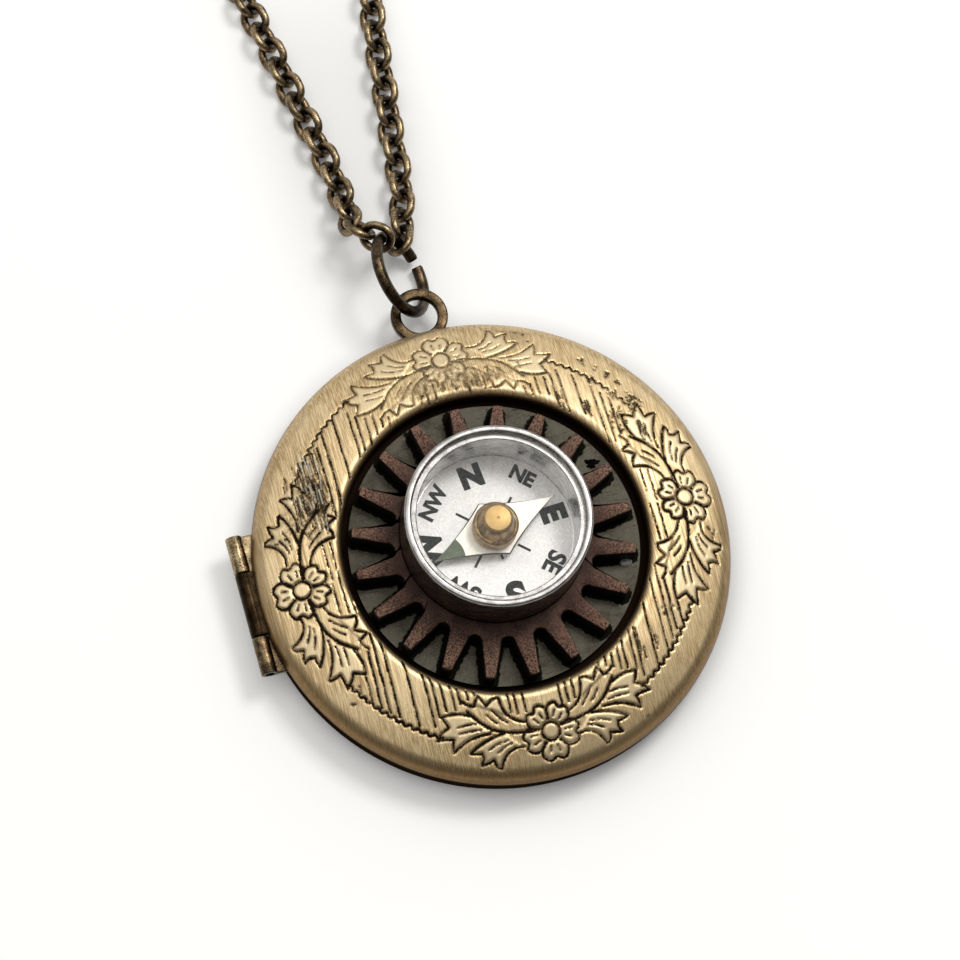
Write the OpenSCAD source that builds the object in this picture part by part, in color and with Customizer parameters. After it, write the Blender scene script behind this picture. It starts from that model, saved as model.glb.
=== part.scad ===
// Compass pendant: a round hinged locket with a small compass set in its front, on a cable chain.
// Millimetres. The origin is the centre of the locket's flat back, +Z comes out of its front and
// +Y points to the loop. The pendant lies on its back, with the chain laid out behind it.

/* [Locket] */
// Diameter of the front cover
locket_d = 32; // [31:0.5:34]
// How much smaller the back cover is across
back_inset = 0.2; // [0:0.1:0.6]
// Thickness of the covers' sheet metal
sheet_t = 0.5; // [0.4:0.05:0.6]
// Height of the line where the covers part
split_z = 2.4; // [2.2:0.1:3]
// Gap between the two closed covers
split_gap = 0.1; // [0.06:0.02:0.2]
// Radius of the back cover's rounded lower edge
back_edge_r = 1.6; // [1:0.1:1.8]
// Height of the inner lip above the parting line
lip_h = 0.5; // [0.3:0.05:0.6]
// Gap between the inner lip and the front cover's wall
lip_gap = 0.12; // [0.08:0.02:0.2]
// Straight height of the front cover's wall
wall_h = 0.15; // [0.1:0.05:0.5]
// Radius of the front cover's rounded outer edge
front_edge_r = 1.35; // [1.1:0.05:1.6]
// Slope in degrees where the edge meets the domed band
band_slope = 20; // [16:1:24]
// Radius of the domed band's arc
dome_r = 30; // [25:1:40]

/* [Relief] */
// Height of the raised flowers and leaves
relief_h = 0.12; // [0.08:0.02:0.2]
// Radius of the ring that the four flowers lie on
flower_ring_r = 13; // [12.9:0.05:13.2]
// Distance from a flower's centre to its petals' centres
petal_ring_r = 1.12; // [1:0.02:1.2]
// Diameter of a petal
petal_d = 1.2; // [1:0.05:1.3]
// Diameter of a flower's button
button_d = 1.1; // [0.9:0.05:1.2]
// Width of a leaf at its widest
leaf_w = 1.1; // [0.8:0.05:1.3]

/* [Recess] */
// Diameter of the recess in the front
recess_d = 20.3; // [19.9:0.1:20.6]
// Radius of the rolled edge round the recess
recess_lip_r = 0.6; // [0.4:0.05:0.7]
// Depth of the recess below the top of the rolled edge
recess_depth = 1.5; // [1.2:0.1:1.7]
// Gap between the backing disc and the recess's wall, all round
disc_gap = 0.45; // [0.2:0.05:0.9]
// Thickness of the backing disc
disc_t = 0.5; // [0.3:0.05:0.7]
// Gap between pieces that are stacked and glued
seat_gap = 0.03; // [0.02:0.01:0.06]

/* [Sun gear] */
// Number of spikes
spikes = 20; // [16:1:22]
// Diameter across the spikes' tips
gear_d = 18.84; // [18:0.1:19.2]
// Diameter across the bottoms of the notches
gear_root_d = 13.2; // [13:0.1:13.8]
// Width of a notch at its rounded bottom
notch_w = 0.95; // [0.7:0.05:1]
// Width of a spike's blunt tip
tip_w = 0.65; // [0.4:0.05:0.8]
// Thickness of the gear
gear_t = 1.5; // [1.2:0.1:1.8]
// Depth of the pocket that the compass sits in
pocket_depth = 0.4; // [0.2:0.05:0.7]
// Gap round the compass in its pocket
pocket_gap = 0.05; // [0.03:0.01:0.1]
// Where the gear was glued, left or right of the centre
gear_x = -0.2; // [-0.3:0.05:0.3]
// Where the gear was glued, above or below the centre
gear_y = -0.1; // [-0.3:0.05:0.3]
// First spike's angle in degrees
gear_turn = 1; // [0:1:18]

/* [Compass] */
// Outer diameter of the case
case_d = 12.4; // [12:0.1:12.6]
// Height of the case
case_h = 4.1; // [3.9:0.1:4.6]
// Thickness of the case's wall
case_wall = 0.85; // [0.7:0.05:1]
// Thickness of the case's floor
case_floor = 0.2; // [0.15:0.05:0.4]
// Radius of the rounding on the rim
rim_round = 0.2; // [0.1:0.05:0.25]
// Width of the ledge that the lens lies on
ledge_w = 0.3; // [0.2:0.05:0.4]
// Thickness of the lens
lens_t = 0.4; // [0.3:0.05:0.5]
// How far the lens lies below the rim
lens_sink = 0.03; // [0.01:0.01:0.1]
// Gap round the dial and the lens
fit_gap = 0.05; // [0.03:0.01:0.1]
// Thickness of the dial
dial_t = 0.12; // [0.1:0.02:0.2]
// Where the compass was glued, left or right of the centre
compass_x = -0.13; // [-0.3:0.01:0.3]
// Where the compass was glued, above or below the centre
compass_y = 0.44; // [0:0.02:0.5]

/* [Needle] */
// Distance from the needle's centre to each tip
needle_reach = 4.65; // [4:0.05:4.9]
// Half width of the needle's middle
needle_half_w = 2; // [1.6:0.05:2.2]
// Width of the needle's pointed arms where they leave the middle
arm_w = 2; // [1.6:0.05:2.2]
// Distance from the centre to where the arms begin
arm_start = 1.7; // [1.5:0.05:2.2]
// Thickness of the needle
needle_t = 0.15; // [0.1:0.05:0.2]
// Height of the needle above the dial
needle_lift = 0.65; // [0.4:0.05:0.9]
// The needle's direction in degrees
needle_turn = 16; // [-90:1:90]
// Diameter of the fixed pin
pin_d = 0.6; // [0.4:0.05:0.8]
// Gap between the pin and the hub, all round
pin_gap = 0.05; // [0.03:0.01:0.08]
// Diameter of the hub's base
hub_d = 3; // [2.6:0.1:3.2]
// Height of the hub's base
hub_base_h = 1.1; // [0.8:0.1:1.3]
// Diameter at the hub's top
hub_top_d = 1.75; // [1.5:0.05:2]
// Height of the hub above the needle
hub_h = 2.35; // [2:0.05:2.4]
// Height of the hub's straight top
hub_cap_h = 0.25; // [0.1:0.05:0.4]

/* [Hinge] */
// Outer diameter of the knuckles
knuckle_d = 1.1; // [1:0.05:1.2]
// Diameter of the hinge pin
hinge_pin_d = 0.6; // [0.5:0.05:0.7]
// Gap round the pin in its bore
bore_gap = 0.03; // [0.02:0.01:0.05]
// Length of the middle knuckle
middle_len = 4.4; // [4:0.1:4.8]
// Length of each outer knuckle
outer_len = 2.55; // [2.2:0.05:2.7]
// Gap between neighbouring knuckles
knuckle_gap = 0.06; // [0.05:0.01:0.15]
// Gap between a knuckle and the other cover
knuckle_clear = 0.1; // [0.08:0.01:0.15]
// Distance from the front cover's edge to the pin
hinge_offset = 0.45; // [0.42:0.01:0.5]
// The hinge's middle, above or below the centre
hinge_y = 0.25; // [-0.5:0.05:0.5]
// Height of the leaves that join the knuckles to the covers
leaf_h = 0.45; // [0.35:0.05:0.48]

/* [Loop and jump ring] */
// Outer diameter of the loop
loop_d = 3.9; // [3.8:0.05:4]
// Diameter of the loop's hole
loop_hole_d = 2.5; // [2.5:0.05:2.6]
// Thickness of the loop
loop_t = 0.6; // [0.5:0.05:0.6]
// How far the loop's centre lies beyond the front cover's edge
loop_out = 1.41; // [1.35:0.01:1.45]
// The loop's place left or right of the centre
loop_x = -0.22; // [-0.4:0.02:0.4]
// Distance from the parting line down to the loop
loop_drop = 0.05; // [0.05:0.01:0.1]
// Diameter of the jump ring's wire
ring_wire = 0.8; // [0.7:0.02:0.82]
// Diameter of the jump ring along the middle of its wire
ring_d = 5.54; // [5.5:0.02:5.6]
// Tilt of the jump ring from flat, in degrees
ring_tilt = 53; // [52:1:54]
// Width of the cut in the jump ring
ring_cut = 0.5; // [0.2:0.05:0.8]
// Where the cut is, in degrees round the ring from its far side
ring_cut_at = 64; // [50:1:80]

/* [Chain] */
// Width of a link
link_w = 2.13; // [2.05:0.01:2.3]
// Length of a link
link_l = 2.47; // [2.4:0.01:2.6]
// Diameter of a link's wire
link_wire = 0.46; // [0.4:0.01:0.48]
// Gap between neighbouring links
link_gap = 0.12; // [0.1:0.01:0.14]
// Number of open links in each visible strand
strand_links = 16; // [8:1:20]
// Diameter of the round cord shape that stands for the far chain
far_d = 1.6; // [1.4:0.05:1.8]
// Where the left strand hangs on the jump ring, in degrees
left_hook = 28; // [26:1:30]
// Where the right strand hangs on the jump ring, in degrees
right_hook = -26; // [-28:1:-24]

/* [Clasp] */
// Length of the clasp's body without its eye
clasp_l = 8; // [7.5:0.1:9]
// Width of the clasp's body
clasp_w = 4.6; // [4.4:0.1:4.9]
// Thickness of the clasp's body
clasp_t = 1.4; // [1.2:0.05:1.5]
// Diameter of the opening in the clasp's hook
hook_d = 2.7; // [2.6:0.05:2.8]
// Width of the hook round the opening
hook_w = 1; // [0.9:0.05:1]
// Outer diameter of the clasp's eye
eye_d = 3; // [2.8:0.1:3.2]
// Diameter of the eye's hole
eye_hole_d = 1.7; // [1.5:0.1:1.9]
// Thickness of the eye
eye_t = 0.9; // [0.7:0.05:1]
// Diameter of the clasp ring along the middle of its wire
clasp_ring_d = 3.8; // [3.7:0.05:3.9]
// Diameter of the clasp ring's wire
clasp_ring_wire = 0.6; // [0.5:0.05:0.6]
// Tilt of the clasp ring from flat, in degrees
clasp_ring_tilt = 56; // [54:1:58]

/* [Hidden] */

// Round shapes
smooth = 120;
wire_smooth = 32;
touch = 0.05;

// Front cover
locket_r = locket_d/2;
front_z = split_z + split_gap/2;
edge_c = [locket_r - front_edge_r, front_z + wall_h];
edge_end = 90 - band_slope;
dome_c = edge_c + (front_edge_r - dome_r)*[cos(edge_end), sin(edge_end)];
recess_r = recess_d/2;
lip_c_r = recess_r + recess_lip_r;
lip_turn = acos((lip_c_r - dome_c[0])/(dome_r - recess_lip_r));
lip_c = [lip_c_r, dome_c[1] + (dome_r - recess_lip_r)*sin(lip_turn)];
crest_z = lip_c[1] + recess_lip_r;
tray_z = crest_z - recess_depth;
tray_r = recess_r + sheet_t;
inner_turn = acos((tray_r - dome_c[0])/(dome_r - sheet_t));

// Relief. The leaves beside a flower, on one side of it: how far along the ring from the flower's
// centre each starts, how far out from the ring, its direction in degrees and its length.
flowers = 4;
petals = 5;
leaves = [[2, 0.7, -8, 3], [2.2, -0.3, -20, 4], [1.6, -1.1, -45, 2.2]];
shell_sink = 0.1;

// Back cover
back_r = locket_r - back_inset/2;
back_z = split_z - split_gap/2;
back_c = [back_r - back_edge_r, back_edge_r];
lip_out_r = locket_r - sheet_t - lip_gap;
lip_in_r = lip_out_r - sheet_t;
floor_turn = acos((lip_in_r - back_c[0])/(back_edge_r - sheet_t));

// Hinge
hinge_x = -(locket_r + hinge_offset);
hinge_z = split_z;
middle_y = hinge_y - middle_len/2;
upper_y = hinge_y + middle_len/2 + knuckle_gap;
lower_y = middle_y - knuckle_gap - outer_len;
hinge_len = upper_y + outer_len - lower_y;

// Loop and jump ring
loop_y = locket_r + loop_out;
loop_z = back_z - loop_drop + touch - loop_t;
ring_r = ring_d/2;
ring_gap = 0.08;
floor_gap = 0.03;
ring_aside = -0.53;
ring_out = 3.04;
ring_c = [loop_x + ring_aside, loop_y + ring_out, ring_r*sin(ring_tilt) + ring_wire/2 + floor_gap];
cut_turn = ring_cut/ring_r*180/PI;

// Stack in the recess
disc_r = recess_r - disc_gap;
disc_z = tray_z + seat_gap;
gear_z = disc_z + disc_t + seat_gap;
gear_top = gear_z + gear_t;
gear_r = gear_d/2;
root_r = gear_root_d/2;
spike_turn = 360/spikes;
notch_c = root_r + notch_w/2;
mouth_w = 2*gear_r*sin(spike_turn/2) - tip_w;
case_z = gear_top - pocket_depth + seat_gap;
case_r = case_d/2;
case_in_r = case_r - case_wall;
rim_z = case_z + case_h;
lens_seat_r = case_in_r + ledge_w;
ledge_z = rim_z - lens_sink - lens_t - seat_gap;
dial_z = case_z + case_floor + seat_gap;
dial_top = dial_z + dial_t;

// Needle
needle_z = dial_top + needle_lift;
needle_top = needle_z + needle_t;
spigot_r = hub_top_d/2;
spigot_drop = 0.1;
hub_step = 0.15;
hub_top = needle_top + hub_h;
bore_top = hub_top - 2*hub_cap_h;
pin_foot_d = 1.2;
pin_foot_t = 0.15;

// Chain. Each route is a short list of places, in millimetres left or right of the jump ring's
// centre, in front of it, and above the height at which the chain's middle rests.
link_turn = 45;
link_sides = 12;
link_wire_sides = 5;
cord_sides = 8;
cord_step = 3.9;
curve_steps = 8;
pitch = link_l - 2*link_wire - link_gap;
first_link = (link_l - 2*link_wire - ring_wire)/2 - ring_gap;
rest_z = (link_w - link_wire)/2*sin(link_turn) + link_wire/2 + floor_gap;
left_route = [
    [-1.6, 3, 2.65], [-2.1, 3.8, 2.35], [-2.35, 5.1, 1.2], [-2.15, 5.9, 0.8], [-2.25, 7.8, 0.2],
    [-2.45, 9.8, 0], [-3.05, 13, 0], [-3.65, 16.3, 0], [-4.25, 19.6, 0], [-4.9, 22.8, 0],
    [-6.1, 28, 0], [-8, 35, 0], [-12, 47, 0], [-17.5, 61, 0], [-24, 77, 0], [-31, 94, 0],
    [-37.5, 112, 0], [-42, 130, 0], [-44, 147, 0], [-42.5, 162, 0], [-37, 175, 0], [-28, 184, 0],
    [-17.5, 189.5, 0], [-11, 190.9, 0.2]];
right_route = [
    [0.8, 2.75, 0.75], [1.5, 4.45, 0.25], [1.55, 5.05, 0.25], [1.85, 5.85, 0.25], [2.2, 8.2, 0],
    [2.45, 10.9, 0], [2.8, 13.7, 0], [3.2, 17.4, 0], [3.7, 20.9, 0], [4.9, 27, 0],
    [7, 35, 0], [11.5, 47, 0], [17.5, 61, 0], [24.5, 77, 0], [31.5, 94, 0], [38, 112, 0],
    [42.5, 130, 0], [44.5, 147, 0], [43.5, 162, 0], [39, 174.5, 0], [31.5, 183.5, 0],
    [22.5, 188.5, 0], [14, 190.6, 0]];

// Clasp, at the far end of the chain
far_end = [0, 191];
clasp_x = ring_c[0] + far_end[0];
clasp_y = ring_c[1] + far_end[1];
clasp_lift = 0.18;
clasp_z = floor_gap + clasp_ring_wire + clasp_lift;
clasp_tail_d = 2.2;
eye_overlap = 0.4;
hook_end_x = clasp_x - clasp_l/2;
eye_x = clasp_x + clasp_l/2 + eye_d/2 - eye_overlap;
eye_z = clasp_z + (clasp_t - eye_t)/2;
lever_d = 1.4;
clasp_ring_r = clasp_ring_d/2;
clasp_ring_z = clasp_ring_r*sin(clasp_ring_tilt) + clasp_ring_wire/2 + floor_gap;
clasp_ring_c = [hook_end_x + hook_w/2,
    clasp_y + (clasp_ring_z - clasp_z - clasp_t/2)/tan(clasp_ring_tilt), clasp_ring_z];
left_end = clasp_ring_c - [clasp_ring_r + clasp_ring_wire/2 + link_gap, 0, 0];
right_end = [eye_x + eye_d/2 + link_gap, clasp_y, eye_z + eye_t/2];

// Points on an arc about a centre, from one angle to another, without its first point when skip is 1
function arc(c, r, from, to, steps, skip = 0) =
    [for (i = [skip:steps]) let (a = from + (to - from)*i/steps) c + r*[cos(a), sin(a)]];

// A place on the jump ring's wire, by the angle round it from its far side
function on_ring(turn) = ring_c
    + ring_r*[-sin(turn)*cos(ring_tilt), cos(turn), sin(turn)*sin(ring_tilt)];

// The places that a strand of chain passes, from the jump ring to the clasp
function strand(hook, route, end) = concat([on_ring(hook)],
    [for (p = route) [ring_c[0] + p[0], ring_c[1] + p[1], rest_z + p[2]]], [end]);

// A smooth curve through all the places
function spline(p0, p1, p2, p3, t) = 0.5*(2*p1 + (p2 - p0)*t + (2*p0 - 5*p1 + 4*p2 - p3)*t*t
    + (3*p1 - p0 - 3*p2 + p3)*t*t*t);
function curve(p) = let (last = len(p) - 1) concat(
    [for (i = [0:last - 1], k = [0:curve_steps - 1])
        spline(i == 0 ? 2*p[0] - p[1] : p[i - 1], p[i], p[i + 1],
            i + 2 > last ? 2*p[last] - p[last - 1] : p[i + 2], k/curve_steps)], [p[last]]);

// Distances along a curve, and the place at one of them
function distances(c) = [for (i = 0, s = 0; i < len(c); i = i + 1,
    s = s + (i < len(c) ? norm(c[i] - c[i - 1]) : 0)) s];
function place(c, d, s) = let (i = [for (k = [0:len(c) - 2]) if (d[k] <= s || k == 0) k],
    k = i[len(i) - 1]) c[k] + (c[k + 1] - c[k])*(s - d[k])/(d[k + 1] - d[k]);
function unit(v) = v/norm(v);
function sideways(dir) = unit(cross(dir, [0, 0, 1]));

// Joins rings of points into closed faces, either round again to the first ring or with flat ends
function ring_faces(rings, sides, closed) = concat(
    [for (i = [0:rings - (closed ? 1 : 2)], k = [0:sides - 1])
        let (j = (i + 1)%rings, n = (k + 1)%sides)
        [i*sides + k, i*sides + n, j*sides + n, j*sides + k]],
    closed ? [] : [[for (k = [sides - 1:-1:0]) k], [for (k = [0:sides - 1]) (rings - 1)*sides + k]]);

// One oval wire link about a place, along a direction and turned about it
module link(at, dir, turn) {
    side = sideways(dir);
    up = cross(side, dir);
    across = cos(turn)*side + sin(turn)*up;
    normal = cross(dir, across);
    bend_r = (link_w - link_wire)/2;
    straight = (link_l - link_w)/2;
    points = [for (i = [0:link_sides - 1], k = [0:link_wire_sides - 1])
        let (a = 360*(i + 0.5)/link_sides, b = 360*k/link_wire_sides,
            out = cos(a)*dir + sin(a)*across)
        at + sign(cos(a))*straight*dir + bend_r*out
            + link_wire/2*(cos(b)*out + sin(b)*normal)];
    polyhedron(points, ring_faces(link_sides, link_wire_sides, true));
}

// The open links of one strand
module links(hook, route, end) {
    c = curve(strand(hook, route, end));
    d = distances(c);
    for (i = [0:strand_links - 1]) {
        s = first_link + i*pitch;
        link(place(c, d, s), unit(place(c, d, s + pitch/2) - place(c, d, s - first_link/2)),
            link_turn*(i%2 == 0 ? 1 : -1));
    }
}

// The rest of a strand, as one round cord shape that ends at the clasp
module far_strand(hook, route, end) {
    c = curve(strand(hook, route, end));
    d = distances(c);
    from = first_link + (strand_links - 1)*pitch + link_l/2 + link_gap;
    rings = ceil((d[len(d) - 1] - from)/cord_step) + 1;
    step = (d[len(d) - 1] - from)/(rings - 1);
    points = [for (i = [0:rings - 1], k = [0:cord_sides - 1])
        let (s = from + i*step, at = place(c, d, s),
            dir = unit(place(c, d, s + step/4) - place(c, d, s - step/4)),
            side = sideways(dir), up = cross(side, dir), b = 360*(k + 0.5)/cord_sides)
        at + far_d/2*(cos(b)*side + sin(b)*up)];
    polyhedron(points, ring_faces(rings, cord_sides, false));
}

// A round bar along the hinge
module along_hinge(from, length, d) {
    translate([hinge_x, from + length, hinge_z]) rotate([90, 0, 0]) cylinder(d = d, h = length, $fn = smooth);
}

module back_dish() {
    rotate_extrude($fn = smooth) polygon(concat([[0, 0]],
        arc(back_c, back_edge_r, -90, 0, 6),
        [[back_r, back_z], [lip_out_r, back_z], [lip_out_r, split_z + lip_h], [lip_in_r, split_z + lip_h]],
        arc(back_c, back_edge_r - sheet_t, -floor_turn, -90, 4), [[0, sheet_t]]));
}

module outer_knuckle(from) {
    along_hinge(from, outer_len, knuckle_d);
    translate([hinge_x, from, back_z - leaf_h]) cube([-lip_in_r - hinge_x, outer_len, leaf_h]);
}

module back_cover() {
    color("darkgoldenrod") difference() {
        union() {
            difference() {
                back_dish();
                along_hinge(middle_y - knuckle_gap, middle_len + 2*knuckle_gap, knuckle_d + 2*knuckle_clear);
            }
            translate([loop_x, loop_y, loop_z]) cylinder(d = loop_d, h = loop_t, $fn = smooth);
            outer_knuckle(lower_y);
            outer_knuckle(upper_y);
        }
        translate([loop_x, loop_y, loop_z - loop_t]) cylinder(d = loop_hole_d, h = 3*loop_t, $fn = smooth);
        along_hinge(lower_y - outer_len, hinge_len + 2*outer_len, hinge_pin_d + 2*bore_gap);
    }
}

module front_shell() {
    rotate_extrude($fn = smooth) polygon(concat([[locket_r, front_z]],
        arc(edge_c, front_edge_r, 0, edge_end, 6),
        arc(dome_c, dome_r, edge_end, lip_turn, 4, 1),
        arc(lip_c, recess_lip_r, lip_turn, 180, 6, 1),
        [[recess_r, tray_z], [0, tray_z], [0, tray_z - sheet_t], [tray_r, tray_z - sheet_t]],
        arc(dome_c, dome_r - sheet_t, inner_turn, edge_end, 4),
        arc(edge_c, front_edge_r - sheet_t, edge_end, 0, 6, 1),
        [[locket_r - sheet_t, front_z]]));
}

// The outer surface of the domed band as a thin shell, from a little below it to the relief's height
module band_shell() {
    rotate_extrude($fn = smooth) polygon(concat(
        arc(dome_c, dome_r + relief_h, lip_turn, edge_end, 4),
        arc(edge_c, front_edge_r + relief_h, edge_end, edge_end/2, 3, 1),
        arc(edge_c, front_edge_r - shell_sink, edge_end/2, edge_end, 3),
        arc(dome_c, dome_r - shell_sink, edge_end, lip_turn, 4, 1)));
}

module leaf(length) {
    polygon([[0, 0], [0.35*length, leaf_w/2], [0.7*length, leaf_w/3], [length, 0],
        [0.7*length, -leaf_w/3], [0.35*length, -leaf_w/2]]);
}

module flower() {
    circle(d = button_d, $fn = wire_smooth);
    for (i = [0:petals - 1]) rotate(90 + i*360/petals) translate([petal_ring_r, 0])
        circle(d = petal_d, $fn = wire_smooth);
    for (side = [0, 1]) mirror([side, 0]) for (l = leaves)
        translate([l[0], l[1]]) rotate(l[2]) leaf(l[3]);
}

module relief() {
    intersection() {
        band_shell();
        translate([0, 0, tray_z]) linear_extrude(crest_z)
            for (i = [0:flowers - 1]) rotate(i*360/flowers) translate([0, flower_ring_r]) flower();
    }
}

module front_cover() {
    color("goldenrod") difference() {
        union() {
            difference() {
                union() {
                    front_shell();
                    relief();
                }
                along_hinge(lower_y - knuckle_gap, hinge_len + 2*knuckle_gap, knuckle_d + 2*knuckle_clear);
            }
            along_hinge(middle_y, middle_len, knuckle_d);
            translate([hinge_x, middle_y, front_z])
                cube([-(locket_r - sheet_t + touch) - hinge_x, middle_len, leaf_h]);
        }
        along_hinge(middle_y - middle_len, 3*middle_len, hinge_pin_d + 2*bore_gap);
    }
}

module hinge_pin() {
    color("saddlebrown") along_hinge(lower_y, hinge_len, hinge_pin_d);
}

module backing_disc() {
    color("darkolivegreen") translate([0, 0, disc_z]) cylinder(r = disc_r, h = disc_t, $fn = smooth);
}

module notch() {
    translate([notch_c, 0]) circle(d = notch_w, $fn = wire_smooth);
    polygon([[notch_c, -notch_w/2], [gear_r*cos(spike_turn/2), -mouth_w/2], [gear_r + gear_t, -mouth_w/2],
        [gear_r + gear_t, mouth_w/2], [gear_r*cos(spike_turn/2), mouth_w/2], [notch_c, notch_w/2]]);
}

module sun_gear() {
    color("sienna") translate([gear_x, gear_y, gear_z]) difference() {
        linear_extrude(gear_t) difference() {
            circle(d = gear_d, $fn = smooth);
            for (i = [0:spikes - 1]) rotate(gear_turn + (i + 0.5)*spike_turn) notch();
        }
        translate([compass_x - gear_x, compass_y - gear_y, gear_t - pocket_depth])
            cylinder(r = case_r + pocket_gap, h = gear_t, $fn = smooth);
    }
}

module compass_case() {
    color("silver") translate([compass_x, compass_y, 0]) rotate_extrude($fn = smooth)
        polygon(concat([[0, case_z], [case_r, case_z]],
            arc([case_r - rim_round, rim_z - rim_round], rim_round, 0, 90, 4),
            arc([lens_seat_r + fit_gap + rim_round, rim_z - rim_round], rim_round, 90, 180, 4),
            [[lens_seat_r + fit_gap, ledge_z], [case_in_r, ledge_z], [case_in_r, case_z + case_floor],
                [0, case_z + case_floor]]));
}

module compass_dial() {
    color("whitesmoke") translate([compass_x, compass_y, dial_z])
        cylinder(r = case_in_r - fit_gap, h = dial_t, $fn = smooth);
}

module compass_lens() {
    color("lightcyan", 0.3) translate([compass_x, compass_y, ledge_z + seat_gap])
        cylinder(r = lens_seat_r, h = lens_t, $fn = smooth);
}

module pivot_pin() {
    color("silver") translate([compass_x, compass_y, dial_top + seat_gap]) {
        cylinder(d = pin_foot_d, h = pin_foot_t, $fn = smooth);
        cylinder(d = pin_d, h = bore_top - dial_top - 2*seat_gap - pin_gap, $fn = smooth);
    }
}

module needle() {
    color("ivory") translate([compass_x, compass_y, needle_z]) difference() {
        linear_extrude(needle_t) rotate(needle_turn) polygon([
            [needle_reach, 0], [arm_start, arm_w/2], [0, needle_half_w], [-arm_start, arm_w/2],
            [-needle_reach, 0], [-arm_start, -arm_w/2], [0, -needle_half_w], [arm_start, -arm_w/2]]);
        translate([0, 0, -needle_t]) cylinder(r = spigot_r + fit_gap, h = 3*needle_t, $fn = smooth);
    }
}

module needle_hub() {
    color("goldenrod") translate([compass_x, compass_y, 0]) rotate_extrude($fn = smooth) polygon([
        [pin_d/2 + pin_gap, needle_z - spigot_drop], [spigot_r, needle_z - spigot_drop],
        [spigot_r, needle_top + seat_gap], [hub_d/2, needle_top + seat_gap],
        [hub_d/2, needle_top + hub_base_h], [hub_d/2 - hub_step, needle_top + hub_base_h],
        [spigot_r + hub_step, hub_top - hub_cap_h], [spigot_r, hub_top - hub_cap_h],
        [spigot_r, hub_top], [0, hub_top], [0, bore_top], [pin_d/2 + pin_gap, bore_top]]);
}

module jump_ring() {
    color("saddlebrown") translate(ring_c) rotate([0, ring_tilt, 0])
        rotate(90 - ring_cut_at + cut_turn/2) rotate_extrude(angle = 360 - cut_turn, $fn = smooth)
        translate([ring_r, 0]) circle(d = ring_wire, $fn = wire_smooth);
}

module chain_left() {
    color("sienna") links(left_hook, left_route, left_end);
}

module chain_right() {
    color("sienna") links(right_hook, right_route, right_end);
}

module chain_far_left() {
    color("sienna") far_strand(left_hook, left_route, left_end);
}

module chain_far_right() {
    color("sienna") far_strand(right_hook, right_route, right_end);
}

module clasp_ring() {
    color("saddlebrown") translate(clasp_ring_c) rotate([clasp_ring_tilt, 0, 0])
        rotate_extrude($fn = smooth) translate([clasp_ring_r, 0]) circle(d = clasp_ring_wire, $fn = wire_smooth);
}

module clasp() {
    head_x = hook_end_x + clasp_w/2;
    tail_x = clasp_x + clasp_l/2 - clasp_tail_d/2;
    color("saddlebrown") difference() {
        union() {
            translate([0, clasp_y, clasp_z]) linear_extrude(clasp_t) {
                translate([head_x, 0]) circle(d = clasp_w, $fn = smooth);
                polygon([[head_x, -clasp_w/2], [tail_x, -clasp_tail_d/2], [tail_x, clasp_tail_d/2],
                    [head_x, clasp_w/2]]);
                translate([tail_x, 0]) circle(d = clasp_tail_d, $fn = smooth);
                translate([clasp_x, -clasp_w/2]) circle(d = lever_d, $fn = smooth);
            }
            translate([eye_x, clasp_y, eye_z]) cylinder(d = eye_d, h = eye_t, $fn = smooth);
        }
        translate([hook_end_x + hook_w + hook_d/2, clasp_y, clasp_z - clasp_t])
            cylinder(d = hook_d, h = 3*clasp_t, $fn = smooth);
        translate([eye_x, clasp_y, eye_z - eye_t]) cylinder(d = eye_hole_d, h = 3*eye_t, $fn = smooth);
    }
}

back_cover();
front_cover();
hinge_pin();
backing_disc();
sun_gear();
compass_case();
compass_dial();
compass_lens();
pivot_pin();
needle();
needle_hub();
jump_ring();
chain_left();
chain_right();
chain_far_left();
chain_far_right();
clasp_ring();
clasp();
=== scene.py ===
# Compass pendant: a round hinged locket with an engraved front, a spiked gear and a small compass
# set in it, on a cable chain. Lengths in this script are millimetres, and meshes are made in metres.
import math

import bpy
import numpy as np
from mathutils import Matrix, Vector


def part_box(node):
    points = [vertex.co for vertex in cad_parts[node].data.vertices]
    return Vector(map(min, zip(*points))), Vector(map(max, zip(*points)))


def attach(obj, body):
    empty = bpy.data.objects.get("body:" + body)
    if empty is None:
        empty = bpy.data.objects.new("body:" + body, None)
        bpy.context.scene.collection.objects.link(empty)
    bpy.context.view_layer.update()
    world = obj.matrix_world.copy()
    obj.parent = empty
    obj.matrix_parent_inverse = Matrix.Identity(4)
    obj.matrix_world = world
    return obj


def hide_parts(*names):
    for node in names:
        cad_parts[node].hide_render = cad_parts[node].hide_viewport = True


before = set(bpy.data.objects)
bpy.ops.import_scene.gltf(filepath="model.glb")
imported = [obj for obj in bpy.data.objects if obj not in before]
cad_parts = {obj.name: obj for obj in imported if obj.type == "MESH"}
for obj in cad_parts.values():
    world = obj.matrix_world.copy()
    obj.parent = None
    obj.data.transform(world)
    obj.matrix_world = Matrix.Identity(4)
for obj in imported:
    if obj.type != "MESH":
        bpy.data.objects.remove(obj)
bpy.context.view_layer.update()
MM = 0.001
TAU = 2 * math.pi


def node_box(name):
    low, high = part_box(name)
    return np.array(low) / MM, np.array(high) / MM


def round_node(name):
    """Centre, radius, lowest and highest z of a round node."""
    low, high = node_box(name)
    return (low + high)[:2] / 2, (high[0] - low[0]) / 2, low[2], high[2]


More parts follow.
